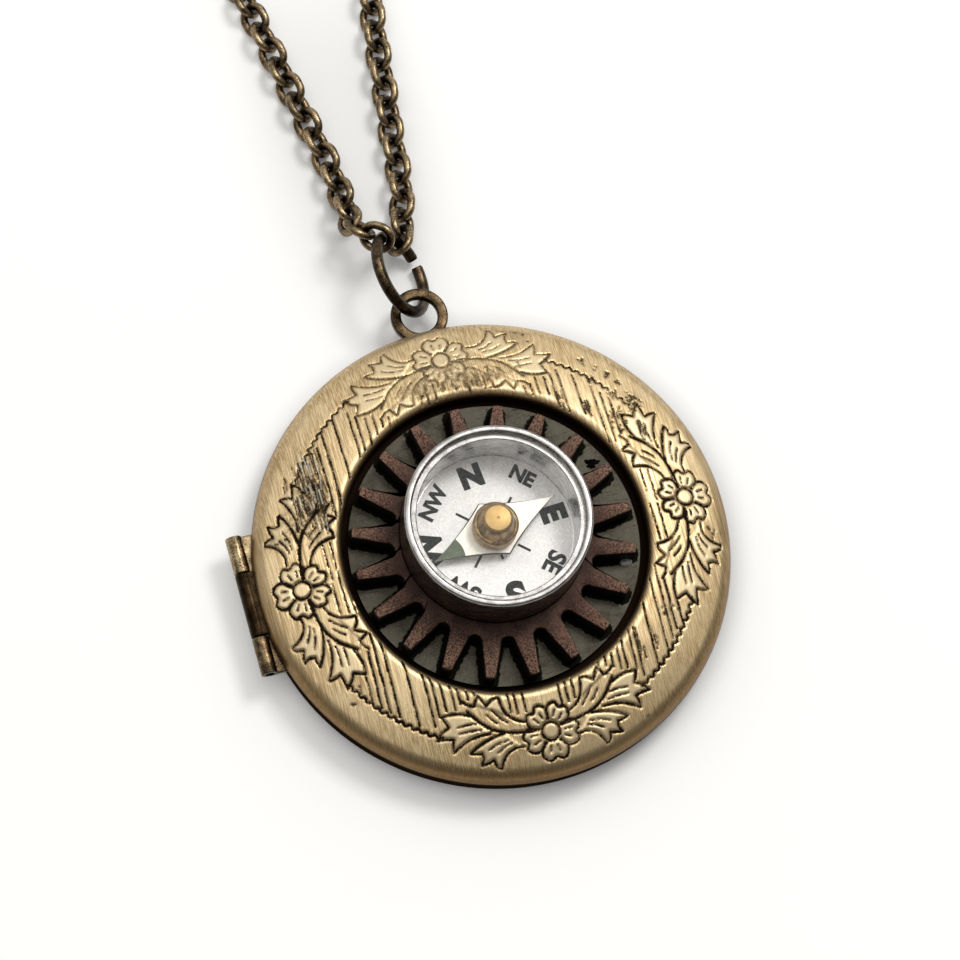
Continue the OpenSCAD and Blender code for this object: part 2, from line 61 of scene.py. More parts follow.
# Locket, from the frame where the frame shows it
LID_R = node_box("front_cover")[1][0]
SHEET = 0.5
SPLIT_Z = 2.4
SPLIT_GAP = 0.1
LID_Z = SPLIT_Z + SPLIT_GAP / 2
WALL_H = 0.15
EDGE_R = 1.35
EDGE_END = math.radians(70)
DOME_R = 30
RECESS_R = 10.15
LIP_R = 0.6
RECESS_DEPTH = 1.5
BACK_R = node_box("back_cover")[1][0]
BACK_EDGE_R = 1.6
INNER_LIP_H = 0.5
INNER_LIP_GAP = 0.12

# Hinge
HINGE_X = sum(node_box("hinge_pin")[i][0] for i in (0, 1)) / 2
HINGE_Z = SPLIT_Z
HINGE_LOW, HINGE_HIGH = (node_box("hinge_pin")[i][1] for i in (0, 1))
KNUCKLE_R = 0.55
KNUCKLE_CLEAR = 0.1
KNUCKLE_GAP = 0.06
OUTER_LEN = 2.55
LEAF_H = 0.45

# Loop on the back cover
LOOP_R = 1.95
LOOP_HOLE_R = 1.25
LOOP_T = 0.6
LOOP_BEVEL = 0.14
LOOP_X = -0.22
LOOP_Y = node_box("back_cover")[1][1] - LOOP_R
LOOP_Z = 1.75


def profile_arc(centre, radius, start, end, steps, skip=0):
    """Points of an arc between two angles in degrees, without the first few."""
    turns = np.radians(np.linspace(start, end, steps + 1)[skip:])
    return np.stack([centre[0] + radius * np.cos(turns), centre[1] + radius * np.sin(turns)], 1)


def turned_plan(points, angle):
    """Plan points turned anticlockwise about the origin."""
    c, s = math.cos(angle), math.sin(angle)
    return points @ np.array([[c, s], [-s, c]])


# Lid profile, worked out as three arcs that meet smoothly
EDGE_C = np.array([LID_R - EDGE_R, LID_Z + WALL_H])
DOME_C = EDGE_C + (EDGE_R - DOME_R) * np.array([math.cos(EDGE_END), math.sin(EDGE_END)])
LIP_TURN = math.acos((RECESS_R + LIP_R - DOME_C[0]) / (DOME_R - LIP_R))
LIP_C = np.array([RECESS_R + LIP_R, DOME_C[1] + (DOME_R - LIP_R) * math.sin(LIP_TURN)])
TRAY_Z = LIP_C[1] + LIP_R - RECESS_DEPTH


def band_height(r):
    """Height of the lid's outer surface at a distance from the centre."""
    edge = EDGE_C[1] + np.sqrt(np.maximum(EDGE_R**2 - (r - EDGE_C[0]) ** 2, 0))
    dome = DOME_C[1] + np.sqrt(DOME_R**2 - (r - DOME_C[0]) ** 2)
    lip = LIP_C[1] + np.sqrt(np.maximum(LIP_R**2 - (r - LIP_C[0]) ** 2, 0))
    edge_from = EDGE_C[0] + EDGE_R * math.cos(EDGE_END)
    lip_to = LIP_C[0] + LIP_R * math.cos(LIP_TURN)
    return np.where(r > edge_from, edge, np.where(r < lip_to, lip, dome))


# Making meshes
def add_object(name, data):
    obj = bpy.data.objects.new(name, data)
    bpy.context.scene.collection.objects.link(obj)
    return obj


def unit(values):
    """The values, held between 0 and 1."""
    return np.clip(values, 0, 1)


def make_mesh(name, points, faces, sharp=40, materials=(), **attributes):
    """A mesh object from points in millimetres, smooth up to the sharp angle in degrees. Each attribute
    has one number for every point."""
    mesh = bpy.data.meshes.new(name)
    mesh.from_pydata(np.asarray(points, float) * MM, [], faces)
    mesh.validate()
    mesh.shade_smooth()
    mesh.set_sharp_from_angle(angle=math.radians(sharp))
    for material in materials:
        mesh.materials.append(material)
    obj = add_object(name, mesh)
    for key, values in attributes.items():
        point_attribute(obj, key, values)
    return obj


def point_attribute(obj, name, values):
    attribute = obj.data.attributes.new(name, "FLOAT", "POINT")
    attribute.data.foreach_set("value", np.asarray(values, np.float32))


def second_material(obj, first_point):
    """Gives the second material to the faces of all points from a number on."""
    for polygon in obj.data.polygons:
        polygon.material_index = int(min(polygon.vertices) >= first_point)


def grid_faces(rows, columns, ends="open"):
    """Quads between rows of points, each row closed on itself. The first and the last row are left open,
    joined to each other or capped."""
    i = np.arange(rows if ends == "joined" else rows - 1)[:, None] * columns
    k = np.arange(columns)[None, :]
    beside, above = (k + 1) % columns, (i + columns) % (rows * columns)
    faces = np.stack([i + k, i + beside, above + beside, above + k], -1).reshape(-1, 4).tolist()
    if ends == "capped":
        faces += [list(range(columns - 1, -1, -1)), list(range((rows - 1) * columns, rows * columns))]
    return faces


def lathe(profile, columns, centre=(0, 0), ends="open"):
    """Points and faces of a turned shape. The profile runs from the outside below, over the top, inwards."""
    turns = np.arange(columns) / columns * TAU
    r, z = np.array(list(profile), float).T
    x = centre[0] + r[:, None] * np.cos(turns)
    y = centre[1] + r[:, None] * np.sin(turns)
    points = np.stack([x, y, np.broadcast_to(z[:, None], x.shape)], -1).reshape(-1, 3)
    return points, grid_faces(len(r), columns, ends)


def stacked(rows):
    """Points of plan outlines, each at its own height."""
    return np.concatenate([np.column_stack([flat, np.full(len(flat), z)]) for flat, z in rows])


def joined(*shapes):
    """Several (points, faces) as one."""
    points, faces, start = [], [], 0
    for p, f in shapes:
        points.append(np.asarray(p, float))
        faces += [[i + start for i in face] for face in f]
        start += len(p)
    return np.concatenate(points), faces


def rounded_bar(radius, start, end, bevel=0.07, sides=40):
    """A round bar along Y on the hinge's line, with rounded ends."""
    steps = np.radians([90, 60, 30, 0])
    half = [(radius - bevel + bevel * math.cos(a), start + bevel - bevel * math.sin(a)) for a in steps]
    other = [(r, start + end - y) for r, y in reversed(half)]
    turns = np.arange(sides) / sides * TAU
    rows = [np.stack([HINGE_X + r * np.sin(turns), np.full(sides, y), HINGE_Z + r * np.cos(turns)], 1)
            for r, y in half + other]
    return np.concatenate(rows), grid_faces(len(rows), sides, "capped")


def box_shape(low, high, bevel=0.06):
    """A box with all its edges chamfered."""
    (x0, y0, z0), (x1, y1, z1) = low, high
    b = bevel
    outline = [(x0 + b, y0), (x1 - b, y0), (x1, y0 + b), (x1, y1 - b), (x1 - b, y1), (x0 + b, y1),
               (x0, y1 - b), (x0, y0 + b)]
    centre = np.array([(x0 + x1) / 2, (y0 + y1) / 2])
    size = np.array([x1 - x0, y1 - y0]) / 2
    rows = [(centre + (np.array(outline) - centre) * (size - inset) / size, z)
            for z, inset in ((z0, b), (z0 + b, 0), (z1 - b, 0), (z1, b))]
    return stacked(rows), grid_faces(4, 8, "capped")


# Making materials
class Nodes:
    """A small helper round a node tree."""

    def __init__(self, tree):
        self.tree = tree

    def node(self, kind, **values):
        made = self.tree.nodes.new(kind)
        for key, value in values.items():
            setattr(made, key, value)
        return made

    def link(self, a, b):
        self.tree.links.new(a, b)

    def feed(self, socket, value):
        """Links another node into a socket, or sets the socket to a number or a colour."""
        if isinstance(value, bpy.types.NodeSocket):
            self.link(value, socket)
        else:
            socket.default_value = (*value, 1) if isinstance(value, tuple) else value

    def coordinates(self, kind):
        return self.node("ShaderNodeTexCoord").outputs[kind]

    def part(self, vector, axis):
        split = self.node("ShaderNodeSeparateXYZ")
        self.link(vector, split.inputs[0])
        return split.outputs[axis]

    def maths(self, operation, *values):
        made = self.node("ShaderNodeMath", operation=operation)
        for socket, value in zip(made.inputs, values):
            self.feed(socket, value)
        return made.outputs[0]

    def times(self, a, b):
        return self.maths("MULTIPLY", a, b)

    def plus(self, a, b):
        return self.maths("ADD", a, b)


class Shader(Nodes):
    """The same round a material's tree, with what the materials here are made of."""

    def __init__(self, name):
        self.material = bpy.data.materials.new(name)
        self.material.use_nodes = True
        super().__init__(self.material.node_tree)
        self.bsdf = self.tree.nodes["Principled BSDF"]
        self.place = self.coordinates("Object")

    def scaled(self, scale, turn=0):
        """The object's own coordinates times a scale, or one for each axis, in features a millimetre."""
        made = self.node("ShaderNodeMapping")
        scales = scale if isinstance(scale, tuple) else (scale,) * 3
        made.inputs["Scale"].default_value = [s / MM for s in scales]
        made.inputs["Rotation"].default_value = (0, 0, turn)
        self.link(self.place, made.inputs["Vector"])
        return made.outputs[0]

    def noise(self, scale, detail=3, rough=0.55, turn=0):
        made = self.node("ShaderNodeTexNoise")
        self.link(self.scaled(scale, turn), made.inputs["Vector"])
        for key, value in (("Scale", 1), ("Detail", detail), ("Roughness", rough)):
            made.inputs[key].default_value = value
        return made.outputs["Fac"]

    def spots(self, scale):
        """The distance from the nearest of many scattered spots."""
        made = self.node("ShaderNodeTexVoronoi")
        self.link(self.scaled(scale), made.inputs["Vector"])
        made.inputs["Scale"].default_value = 1
        return made.outputs["Distance"]

    def attribute(self, name):
        return self.node("ShaderNodeAttribute", attribute_name=name).outputs["Fac"]

    def ramp(self, value, low, high, to_low=0.0, to_high=1.0):
        """A smooth step between two values, from one level to another."""
        made = self.node("ShaderNodeMapRange", interpolation_type="SMOOTHSTEP")
        self.feed(made.inputs["Value"], value)
        for key, v in (("From Min", low), ("From Max", high), ("To Min", to_low), ("To Max", to_high)):
            made.inputs[key].default_value = v
        return made.outputs["Result"]

    def mix(self, share, a, b):
        """Colour a, with a share of colour b."""
        made = self.node("ShaderNodeMix", data_type="RGBA")
        for socket, value in ((0, share), (6, a), (7, b)):
            self.feed(made.inputs[socket], value)
        return made.outputs[2]

    def bump(self, height, strength=0.3, distance=0.05, under=None):
        made = self.node("ShaderNodeBump")
        made.inputs["Strength"].default_value = strength
        made.inputs["Distance"].default_value = distance * MM
        self.feed(made.inputs["Height"], height)
        if under is not None:
            self.link(under, made.inputs["Normal"])
        return made.outputs[0]

    def set(self, **values):
        names = {"color": "Base Color", "specular": "Specular IOR Level"}
        for key, value in values.items():
            self.feed(self.bsdf.inputs[names.get(key, key.capitalize())], value)
        return self.material


def brass_material(name, engraved):
    """Brushed antique brass: golden tan, with fine strokes along Y and dark grains, brown towards the edges
    and nearly black where tarnish is high, which is tarnished brass with painted shade.
    """
    s = Shader(name)
    strokes = s.noise((14, 0.32, 4) if engraved else (17, 0.35, 5), 4, 0.55, 0.06)
    fine = s.noise((30, 3.5, 8), 3, 0.6, 0.06)
    cloud = s.noise((0.25, 0.25, 0.3), 4, 0.6)
    grain = s.noise(11, 4, 0.7)
    dark = (0.37, 0.25, 0.115) if engraved else (0.50, 0.37, 0.19)
    base = s.mix(s.ramp(strokes, 0.3, 0.7), dark, (0.90, 0.705, 0.415))
    base = s.mix(s.ramp(cloud, 0.38, 0.68, 0, 0.5), base, (0.78, 0.63, 0.39))
    base = s.mix(s.ramp(grain, 0.52, 0.70, 0, 0.6), base, (0.27, 0.18, 0.085))
    # Brown, then nearly black: tarnished brass and patina, with painted shade on the lid's lower walls,
    # bottom edge and recess and on the dish's outer wall
    tarnish = s.attribute("tarnish")
    base = s.mix(s.ramp(tarnish, 0.0, 0.6, 0, 0.9), base, (0.20, 0.115, 0.045))
    base = s.mix(s.ramp(tarnish, 0.6, 1.0), base, (0.014, 0.008, 0.005))
    rough = s.ramp(strokes, 0.3, 0.7, 0.48, 0.36)
    height = s.plus(s.times(fine, 0.5), s.times(strokes, 0.5))
    normal = s.bump(height, 0.22, 0.05)
    metal = s.ramp(tarnish, 0.6, 1.0, 1, 0)
    if engraved:
        line = s.attribute("line")
        drift = s.ramp(s.noise(1.5, 2), 0.35, 0.65, -0.02, 0.022)
        ragged = s.plus(line, s.ramp(s.noise(13, 3), 0.3, 0.7, -0.045, 0.045))
        ragged = s.plus(ragged, drift)
        ink = s.times(s.ramp(ragged, -0.022, 0.022, 1, 0), s.attribute("ink"))
        halo = s.ramp(line, 0.0, 0.17, 0.6, 0)
        stain = s.attribute("stain")
        raised = s.attribute("raised")
        worn = s.attribute("worn")
        burr = s.attribute("burr")
        mottle = s.noise((4.5, 3, 4.5), 4, 0.65)
        base = s.mix(s.times(raised, 0.7), base, (0.80, 0.655, 0.42))
        base = s.mix(s.times(halo, s.ramp(grain, 0.3, 0.7, 0.25, 1)), base, (0.30, 0.20, 0.09))
        stained = s.times(stain, s.ramp(mottle, 0.3, 0.55, 0.2, 1))
        base = s.mix(stained, base, (0.075, 0.050, 0.022))
        base = s.mix(s.times(worn, s.ramp(mottle, 0.5, 0.66, 0, 0.85)), base, (0.20, 0.13, 0.055))
        base = s.mix(s.times(worn, s.ramp(mottle, 0.48, 0.36, 0, 0.6)), base, (0.80, 0.65, 0.40))
        base = s.mix(ink, base, (0.014, 0.009, 0.005))
        base = s.mix(burr, base, (0.90, 0.84, 0.68))
        rough = s.plus(rough, s.times(ink, 0.4))
        metal = s.times(metal, s.ramp(ink, 0, 1, 1, 0.1))
        normal = s.bump(ink, -0.7, 0.05, normal)
        normal = s.bump(s.times(worn, mottle), 1.0, 0.16, normal)
    return s.set(color=base, metallic=metal, roughness=rough, normal=normal, specular=0)


def bronze_material(name, worn, shade=1.0, even=0.0):
    """Dark antique bronze, golden where rub is high: rubbed where a piece stands proud, and a painted
    highlight on its top. Nearly black where it is low: painted shade inside links and where they meet.
    """
    s = Shader(name)
    blotch = s.noise(1.6, 4, 0.6)
    grain = s.noise(12, 3, 0.65)
    dark = tuple(c * shade for c in (0.016, 0.007, 0.003))
    light = tuple(c * shade for c in (0.105, 0.055, 0.021))
    base = s.mix(s.ramp(blotch, 0.38, 0.66, even, 1), dark, light)
    rubbed = s.times(s.attribute("rub"), s.ramp(grain, 0.3, 0.6))
    rubbed = s.times(rubbed, s.ramp(blotch, 0.34, 0.6, 0.35 + 0.65 * even, 1))
    # Painted shade: nearly black where rub is low
    base = s.mix(s.ramp(s.attribute("rub"), 0.3, 0.0, 0, 0.75), base, (0.010, 0.005, 0.002))
    base = s.mix(s.times(rubbed, worn), base, (0.57, 0.44, 0.26))
    base = s.mix(s.ramp(grain, 0.60, 0.74, 0, 0.6 - 0.4 * even), base, (0.018, 0.010, 0.006))
    return s.set(color=base, metallic=1.0, roughness=s.ramp(grain, 0.3, 0.7, 0.24, 0.36),
                 normal=s.bump(grain, 0.2, 0.04))


def gear_material():
    """Rough red-brown plating: paler and redder on worn edges, with painted shade that makes it nearly black
    down the sides and in the pocket.
    """
    s = Shader("gear_plating")
    grain = s.noise(9, 4, 0.7)
    blotch = s.noise(1.1, 4, 0.65)
    specks = s.spots(3.2)
    base = s.mix(s.ramp(grain, 0.34, 0.66), (0.019, 0.010, 0.008), (0.044, 0.023, 0.017))
    base = s.mix(s.ramp(blotch, 0.42, 0.66, 0, 0.6), base, (0.078, 0.042, 0.031))
    base = s.mix(s.times(s.attribute("rub"), s.ramp(grain, 0.42, 0.6)), base, (0.33, 0.19, 0.13))
    base = s.mix(s.ramp(specks, 0.05, 0.12, 0.35, 0), base, (0.34, 0.23, 0.16))
    # Painted shade: nearly black where the shade attribute is high
    base = s.mix(s.attribute("shade"), base, (0.004, 0.003, 0.003))
    metal = s.ramp(s.attribute("shade"), 0, 1, 0.6, 0)
    return s.set(color=base, metallic=metal, roughness=s.ramp(grain, 0.3, 0.7, 0.36, 0.56), specular=0.2,
                 normal=s.bump(grain, 0.45, 0.06))


def disc_material():
    """Dull olive-grey sheet with scuffs and a dusty bloom, painted nearly black as shade on its sides and
    along the gear's edge.
    """
    s = Shader("disc_sheet")
    cloud = s.noise(0.5, 4, 0.6)
    grain = s.noise(10, 4, 0.7)
    scuff = s.noise((0.6, 7, 1), 3, 0.7, 0.9)
    base = s.mix(s.ramp(cloud, 0.35, 0.66), (0.034, 0.031, 0.023), (0.072, 0.066, 0.051))
    base = s.mix(s.ramp(grain, 0.52, 0.72, 0, 0.7), base, (0.145, 0.132, 0.105))
    base = s.mix(s.ramp(scuff, 0.56, 0.68, 0, 0.6), base, (0.012, 0.011, 0.006))
    # Painted shade: nearly black on the faces that are not upright, the disc's sides
    upright = s.part(s.coordinates("Normal"), "Z")
    base = s.mix(s.ramp(upright, 0.9, 0.6), base, (0.004, 0.003, 0.003))
    # Painted shade: nearly black along the gear's edge, with a ragged border
    ragged = s.plus(s.attribute("grime"), s.noise(3.5, 4, 0.6))
    base = s.mix(s.ramp(ragged, 0.84, 0.98), base, (0.003, 0.003, 0.002))
    return s.set(color=base, metallic=0.4, roughness=s.ramp(cloud, 0.3, 0.7, 0.24, 0.38), specular=0.0,
                 normal=s.bump(grain, 0.2, 0.05))


def case_material():
    """Turned, polished aluminium: fine rings round the compass, and a warm, duller lower wall, which is a
    painted reflection of the gear. The rim is a darker copy and the inner wall a lighter copy of the same
    metal: painted shade and painted light.
    """
    s = Shader("case_metal")
    rings = s.noise((0.5, 0.5, 9), 3, 0.6)
    haze = s.noise((1.2, 1.2, 2.4), 4, 0.6)
    base = s.mix(s.ramp(haze, 0.35, 0.7), (0.27, 0.26, 0.25), (0.44, 0.43, 0.42))
    # Painted light: the inner wall is a lighter copy of the same metal
    bright = s.mix(s.ramp(haze, 0.35, 0.65), (0.62, 0.61, 0.60), (0.97, 0.96, 0.95))
    base = s.mix(s.attribute("inside"), base, bright)
    # Painted reflection of the gear: warm and darker on the lower outer wall
    base = s.mix(s.times(s.attribute("tarnish"), s.ramp(rings, 0.3, 0.65, 0.7, 1)), base,
                 (0.17, 0.12, 0.085))
    return s.set(color=base, metallic=1.0, roughness=s.ramp(haze, 0.3, 0.7, 0.22, 0.36),
                 normal=s.bump(rings, 0.12, 0.03))


def dial_material():
    """Silvery speckled card: cool white with fine bright and grey grains."""
    s = Shader("dial_silver")
    grain = s.noise(6, 4, 0.75)
    cloud = s.noise(0.9, 4, 0.65)
    base = s.mix(s.ramp(grain, 0.36, 0.64), (0.70, 0.69, 0.66), (0.95, 0.94, 0.91))
    base = s.mix(s.ramp(cloud, 0.42, 0.68, 0, 0.6), base, (0.72, 0.70, 0.70))
    return s.set(color=base, metallic=0.2, roughness=s.ramp(grain, 0.3, 0.7, 0.36, 0.52),
                 normal=s.bump(grain, 0.4, 0.03))


def print_material():
    """Dark print on the dial, slightly grainy."""
    s = Shader("dial_print")
    grain = s.noise(14, 3, 0.7)
    base = s.mix(s.ramp(grain, 0.35, 0.7), (0.006, 0.009, 0.006), (0.018, 0.022, 0.015))
    return s.set(color=base, metallic=0.0, roughness=0.5, specular=0.1)


def paint_material(name, dark, light, rough, shine=0.5):
    """A film of glue or paint, mottled between two colours."""
    s = Shader(name)
    grain = s.noise(4, 4, 0.6)
    base = s.mix(s.ramp(grain, 0.35, 0.68), dark, light)
    return s.set(color=base, metallic=0.0, roughness=rough, specular=shine, normal=s.bump(grain, 0.12, 0.03))


def needle_material():
    """Ivory paint, dark green on the end of one arm, and a dark line down its sides and over its top edge,
    painted shade that follows the hollow flanks.
    """
    s = Shader("needle_paint")
    grain = s.noise(4, 4, 0.6)
    ivory = s.mix(s.ramp(grain, 0.35, 0.68), (0.93, 0.87, 0.75), (0.99, 0.96, 0.88))
    green = s.mix(s.ramp(grain, 0.35, 0.68), (0.042, 0.066, 0.026), (0.085, 0.115, 0.055))
    beside = s.attribute("beside")
    bow = s.times(s.times(beside, beside), 0.28)
    edge = s.plus(s.attribute("along"), bow)
    past = s.ramp(edge, -GREEN_FROM - GREEN_SOFT, -GREEN_FROM + GREEN_SOFT, 1, 0)
    # Painted shade: dark where rim is high, down the sides and over the top bevel
    paint = s.mix(s.ramp(s.attribute("rim"), 0.4, 0.6), s.mix(past, ivory, green), (0.055, 0.055, 0.04))
    return s.set(color=paint, metallic=0.2, roughness=0.38, normal=s.bump(grain, 0.12, 0.03))


def hub_material(name, dark, light, rough):
    """Turned brass, streaked round its axis between two colours."""
    s = Shader(name)
    rings = s.noise((1.2, 1.2, 14), 3, 0.6)
    stain = s.noise(2.2, 4, 0.65)
    base = s.mix(s.ramp(stain, 0.36, 0.66), dark, light)
    return s.set(color=base, metallic=0.9, roughness=rough, normal=s.bump(rings, 0.2, 0.03))


def lens_material():
    """Clear plastic. Only its flat faces have a faint gloss, which grows towards the sides."""
    s = Shader("lens_clear")
    s.tree.nodes.remove(s.bsdf)
    clear = s.node("ShaderNodeBsdfTransparent")
    clear.inputs["Color"].default_value = (0.99, 0.99, 0.99, 1)
    gloss = s.node("ShaderNodeBsdfGlossy")
    gloss.inputs["Roughness"].default_value = 0.03
    facing = s.node("ShaderNodeLayerWeight").outputs["Facing"]
    mirrored = s.plus(s.maths("POWER", facing, 5), 0.017)
    flat = s.ramp(s.part(s.coordinates("Normal"), "Z"), 0.9, 0.95)
    mix = s.node("ShaderNodeMixShader")
    for socket, value in zip(mix.inputs, (s.times(mirrored, flat), clear.outputs[0], gloss.outputs[0])):
        s.link(value, socket)
    s.link(mix.outputs[0], s.tree.nodes["Material Output"].inputs["Surface"])
    return s.material


def steel_material():
    """Plain grey steel."""
    s = Shader("pin_steel")
    grain = s.noise((8, 8, 20), 3, 0.6)
    base = s.mix(s.ramp(grain, 0.3, 0.7), (0.42, 0.41, 0.40), (0.66, 0.65, 0.64))
    return s.set(color=base, metallic=1.0, roughness=0.3, normal=s.bump(grain, 0.15, 0.02))


# The photograph's camera
CAMERA_TURN = math.radians(-32.40)
CAMERA_HEIGHT = math.radians(70.71)
CAMERA_ROLL = math.radians(17.73)
CAMERA_DISTANCE = 280.21
CAMERA_TARGET = (1.050, 5.795, 0)
LENS = 155.85
SENSOR = 36
# The sky: how bright it is at each height of its ramp, from the front and below to the back and above
SKY_STOPS = [(0.0, 0.18), (0.13, 0.53), (0.45, 0.88), (0.72, 0.97)]
SKY_STRENGTH = 0.75
FLOOR_HALF = 3000
# How much light the paper gives off by itself, so that it is white as in the photograph
FLOOR_GLOW = 0.23
# Painted shadows, where the paper glows less round the locket and the chain: centre, half sizes, where the
# fading starts and ends in half sizes, least share
GLOW_HOLLOWS = [((0.8, 0.8), (16.4, 16.4), 0.92, 1.08, 0), ((-1.5, 31), (9, 20), 0.2, 1, 0.3)]


def camera():
    """The camera at the photograph's angle, aimed at its target and rolled."""
    data = bpy.data.cameras.new("camera")
    data.lens = LENS
    data.sensor_width = SENSOR
    data.clip_start = 0.01
    data.clip_end = 20
    aim = Matrix.Rotation(CAMERA_TURN, 4, "Z") @ Matrix.Rotation(math.pi / 2 - CAMERA_HEIGHT, 4, "X")
    place = (Vector(CAMERA_TARGET) + aim.col[2].xyz * CAMERA_DISTANCE) * MM
    obj = add_object("camera", data)
    obj.matrix_world = Matrix.Translation(place) @ aim @ Matrix.Rotation(CAMERA_ROLL, 4, "Z")
    bpy.context.scene.camera = obj


def soft_light(name, place, size, power, color):
    """A square lamp aimed at the locket."""
    data = bpy.data.lights.new(name, "AREA")
    data.size = size * MM
    data.energy = power
    data.color = color
    start = Vector(place) * MM
    aim = start.to_track_quat("Z", "Y").to_matrix().to_4x4()
    add_object(name, data).matrix_world = Matrix.Translation(start) @ aim


def studio():
    """A sky that is darker in front of the locket than behind it, and two large lamps."""
    world = bpy.data.worlds.new("studio")
    world.use_nodes = True
    bpy.context.scene.world = world
    sky = Nodes(world.node_tree)
    way = sky.coordinates("Generated")
    level = sky.maths("MULTIPLY_ADD", sky.part(way, "Y"), 0.65, sky.times(sky.part(way, "Z"), 0.36))
    ramp = sky.node("ShaderNodeValToRGB")
    for i, (at, light) in enumerate(SKY_STOPS):
        stop = ramp.color_ramp.elements[i] if i < 2 else ramp.color_ramp.elements.new(at)
        stop.position = at
        stop.color = (light, light * 0.985, light * 0.96, 1)
    sky.link(level, ramp.inputs[0])
    background = sky.tree.nodes["Background"]
    sky.link(ramp.outputs[0], background.inputs["Color"])
    background.inputs["Strength"].default_value = SKY_STRENGTH
    soft_light("key", (234, 158, 475), 170, 1.1, (1, 0.985, 0.965))
    soft_light("window", (-60, 120, 500), 420, 0.6, (1, 0.99, 0.97))
    bpy.context.scene.view_settings.view_transform = "Standard"


def floor():
    """White paper that reaches past the picture on all sides, with painted shadows where it glows less round
    the locket and the chain.
    """
    corners = np.array([(-1, -1, 0), (1, -1, 0), (1, 1, 0), (-1, 1, 0)]) * FLOOR_HALF
    obj = make_mesh("floor", corners, [[0, 1, 2, 3]])
    s = Shader("floor_paper")
    s.feed(s.bsdf.inputs["Emission Color"], (1, 1, 0.985))
    shares = []
    for centre, reach, start, end, least in GLOW_HOLLOWS:
        shift = s.node("ShaderNodeVectorMath", operation="SUBTRACT")
        shift.inputs[1].default_value = (centre[0] * MM, centre[1] * MM, 0)
        s.link(s.place, shift.inputs[0])
        squeeze = s.node("ShaderNodeVectorMath", operation="DIVIDE")
        squeeze.inputs[1].default_value = (reach[0] * MM, reach[1] * MM, 1)
        s.link(shift.outputs[0], squeeze.inputs[0])
        far = s.node("ShaderNodeVectorMath", operation="LENGTH")
        s.link(squeeze.outputs[0], far.inputs[0])
        shares.append(s.ramp(far.outputs["Value"], start, end, least, 1))
    s.link(s.times(s.times(*shares), FLOOR_GLOW), s.bsdf.inputs["Emission Strength"])
    obj.data.materials.append(s.set(color=(0.86, 0.86, 0.85), roughness=0.9, specular=0.1))


# The engraved ornament: one spray of a flower with leaves on both sides, charted as lines.
# Each point is (along the ring, outwards from it), from the flower's centre.
BAND_MID_R = 13
BUTTON = (-0.1, 0.22)
BUTTON_R = 0.58
PETALS = 5
# One petal, pointing along +X from the button's centre
PETAL = [(0.66, 0.42), (0.95, 0.72), (1.32, 0.80), (1.66, 0.64), (1.82, 0.36), (1.62, 0.03),
         (1.82, -0.34), (1.66, -0.64), (1.32, -0.80), (0.95, -0.72), (0.66, -0.42)]
PETAL_LINES = [[(0.92, 0.20), (1.32, 0.26)], [(0.92, -0.20), (1.28, -0.28)]]
# The leaves on one side: a leaf is a list of strokes. Each starts where the one before it ends.
STEM = [(0.9, 0.0), (1.8, -0.02), (2.8, -0.07), (3.6, -0.2), (4.4, -0.5), (5.0, -0.84), (5.6, -1.16)]
UPPER_LEAF = [
    [(1.72, 0.9), (2.25, 0.93), (2.7, 1.22), (2.98, 1.68), (3.1, 2.22)], [(3.36, 2.08), (3.56, 1.66)],
    [(3.84, 1.84), (4.22, 2.02)], [(4.16, 1.62), (4.3, 1.3)], [(4.6, 1.38), (4.95, 1.38)],
    [(4.62, 0.95), (4.1, 0.52), (3.5, 0.18), (2.9, -0.02)]]
OUTER_LEAF = [
    [(3.9, 0.03), (4.6, 0.24), (5.2, 0.62), (5.62, 1.08), (5.92, 1.5)], [(6.06, 1.12), (6.12, 0.72)],
    [(6.6, 0.84), (7.05, 1.04)], [(6.9, 0.5), (6.6, 0.06)], [(6.9, -0.18), (7.25, -0.45)],
    [(6.6, -0.8), (5.95, -0.94), (5.3, -0.95)]]
LOWER_LEAF = [
    [(1.5, -0.62), (2.2, -0.84), (2.8, -1.24), (3.15, -1.74), (3.4, -2.3)],
    [(3.85, -2.16), (4.3, -1.72)], [(4.62, -1.98), (5.02, -2.3)], [(5.14, -1.94), (5.18, -1.6)],
    [(5.65, -1.58), (6.1, -1.72)]]
VEINS = [
    [(2.5, 0.62), (2.95, 0.86), (3.32, 1.22)], [(3.2, 0.58), (3.52, 0.76), (3.85, 1.04)],
    [(2.72, 0.44), (2.95, 0.54)], [(4.46, -0.15), (5.1, 0.0), (5.8, 0.3)],
    [(4.88, -0.5), (5.4, -0.36), (6.0, -0.06)], [(2.72, -0.66), (3.3, -1.02), (3.85, -1.44)],
    [(3.42, -0.62), (3.8, -0.82), (4.2, -1.1)]]
OUTLINE_W, VEIN_W, STEM_W, HATCH_W = 0.17, 0.11, 0.2, 0.13
LINE_STEP = 0.09
LINE_DEPTH = 0.07
# How wide the slope at a line's edge is, how high a burr and a raised petal stand, and the distance that
# stands for far from any line
LINE_SLOPE = 0.09
BURR_SLOPE = 0.07
BURR_RISE = 0.04
RAISE = 0.055
RAISE_OVER = 0.28
FAR = 0.3
# How far from a line the points are still measured, and the start of the random numbers
DRAW_REACH = 0.4
SEED = 7
# The four stamps: the side of the locket in degrees, how bold its lines are and how dark
STAMPS = [(90, 0.62, 0.8), (0, 0.86, 1.0), (-90, 1.0, 1.0), (180, 1.0, 1.0)]
# Hatching: lines along Y, this far left and right of the centre
HATCH_STEP = 0.5
HATCH_FIRST = 1.2
HATCH_COUNT = 21
HATCH_LEFT_OUT = (7.7, 8.7)
HATCH_INNER_R = 10.32
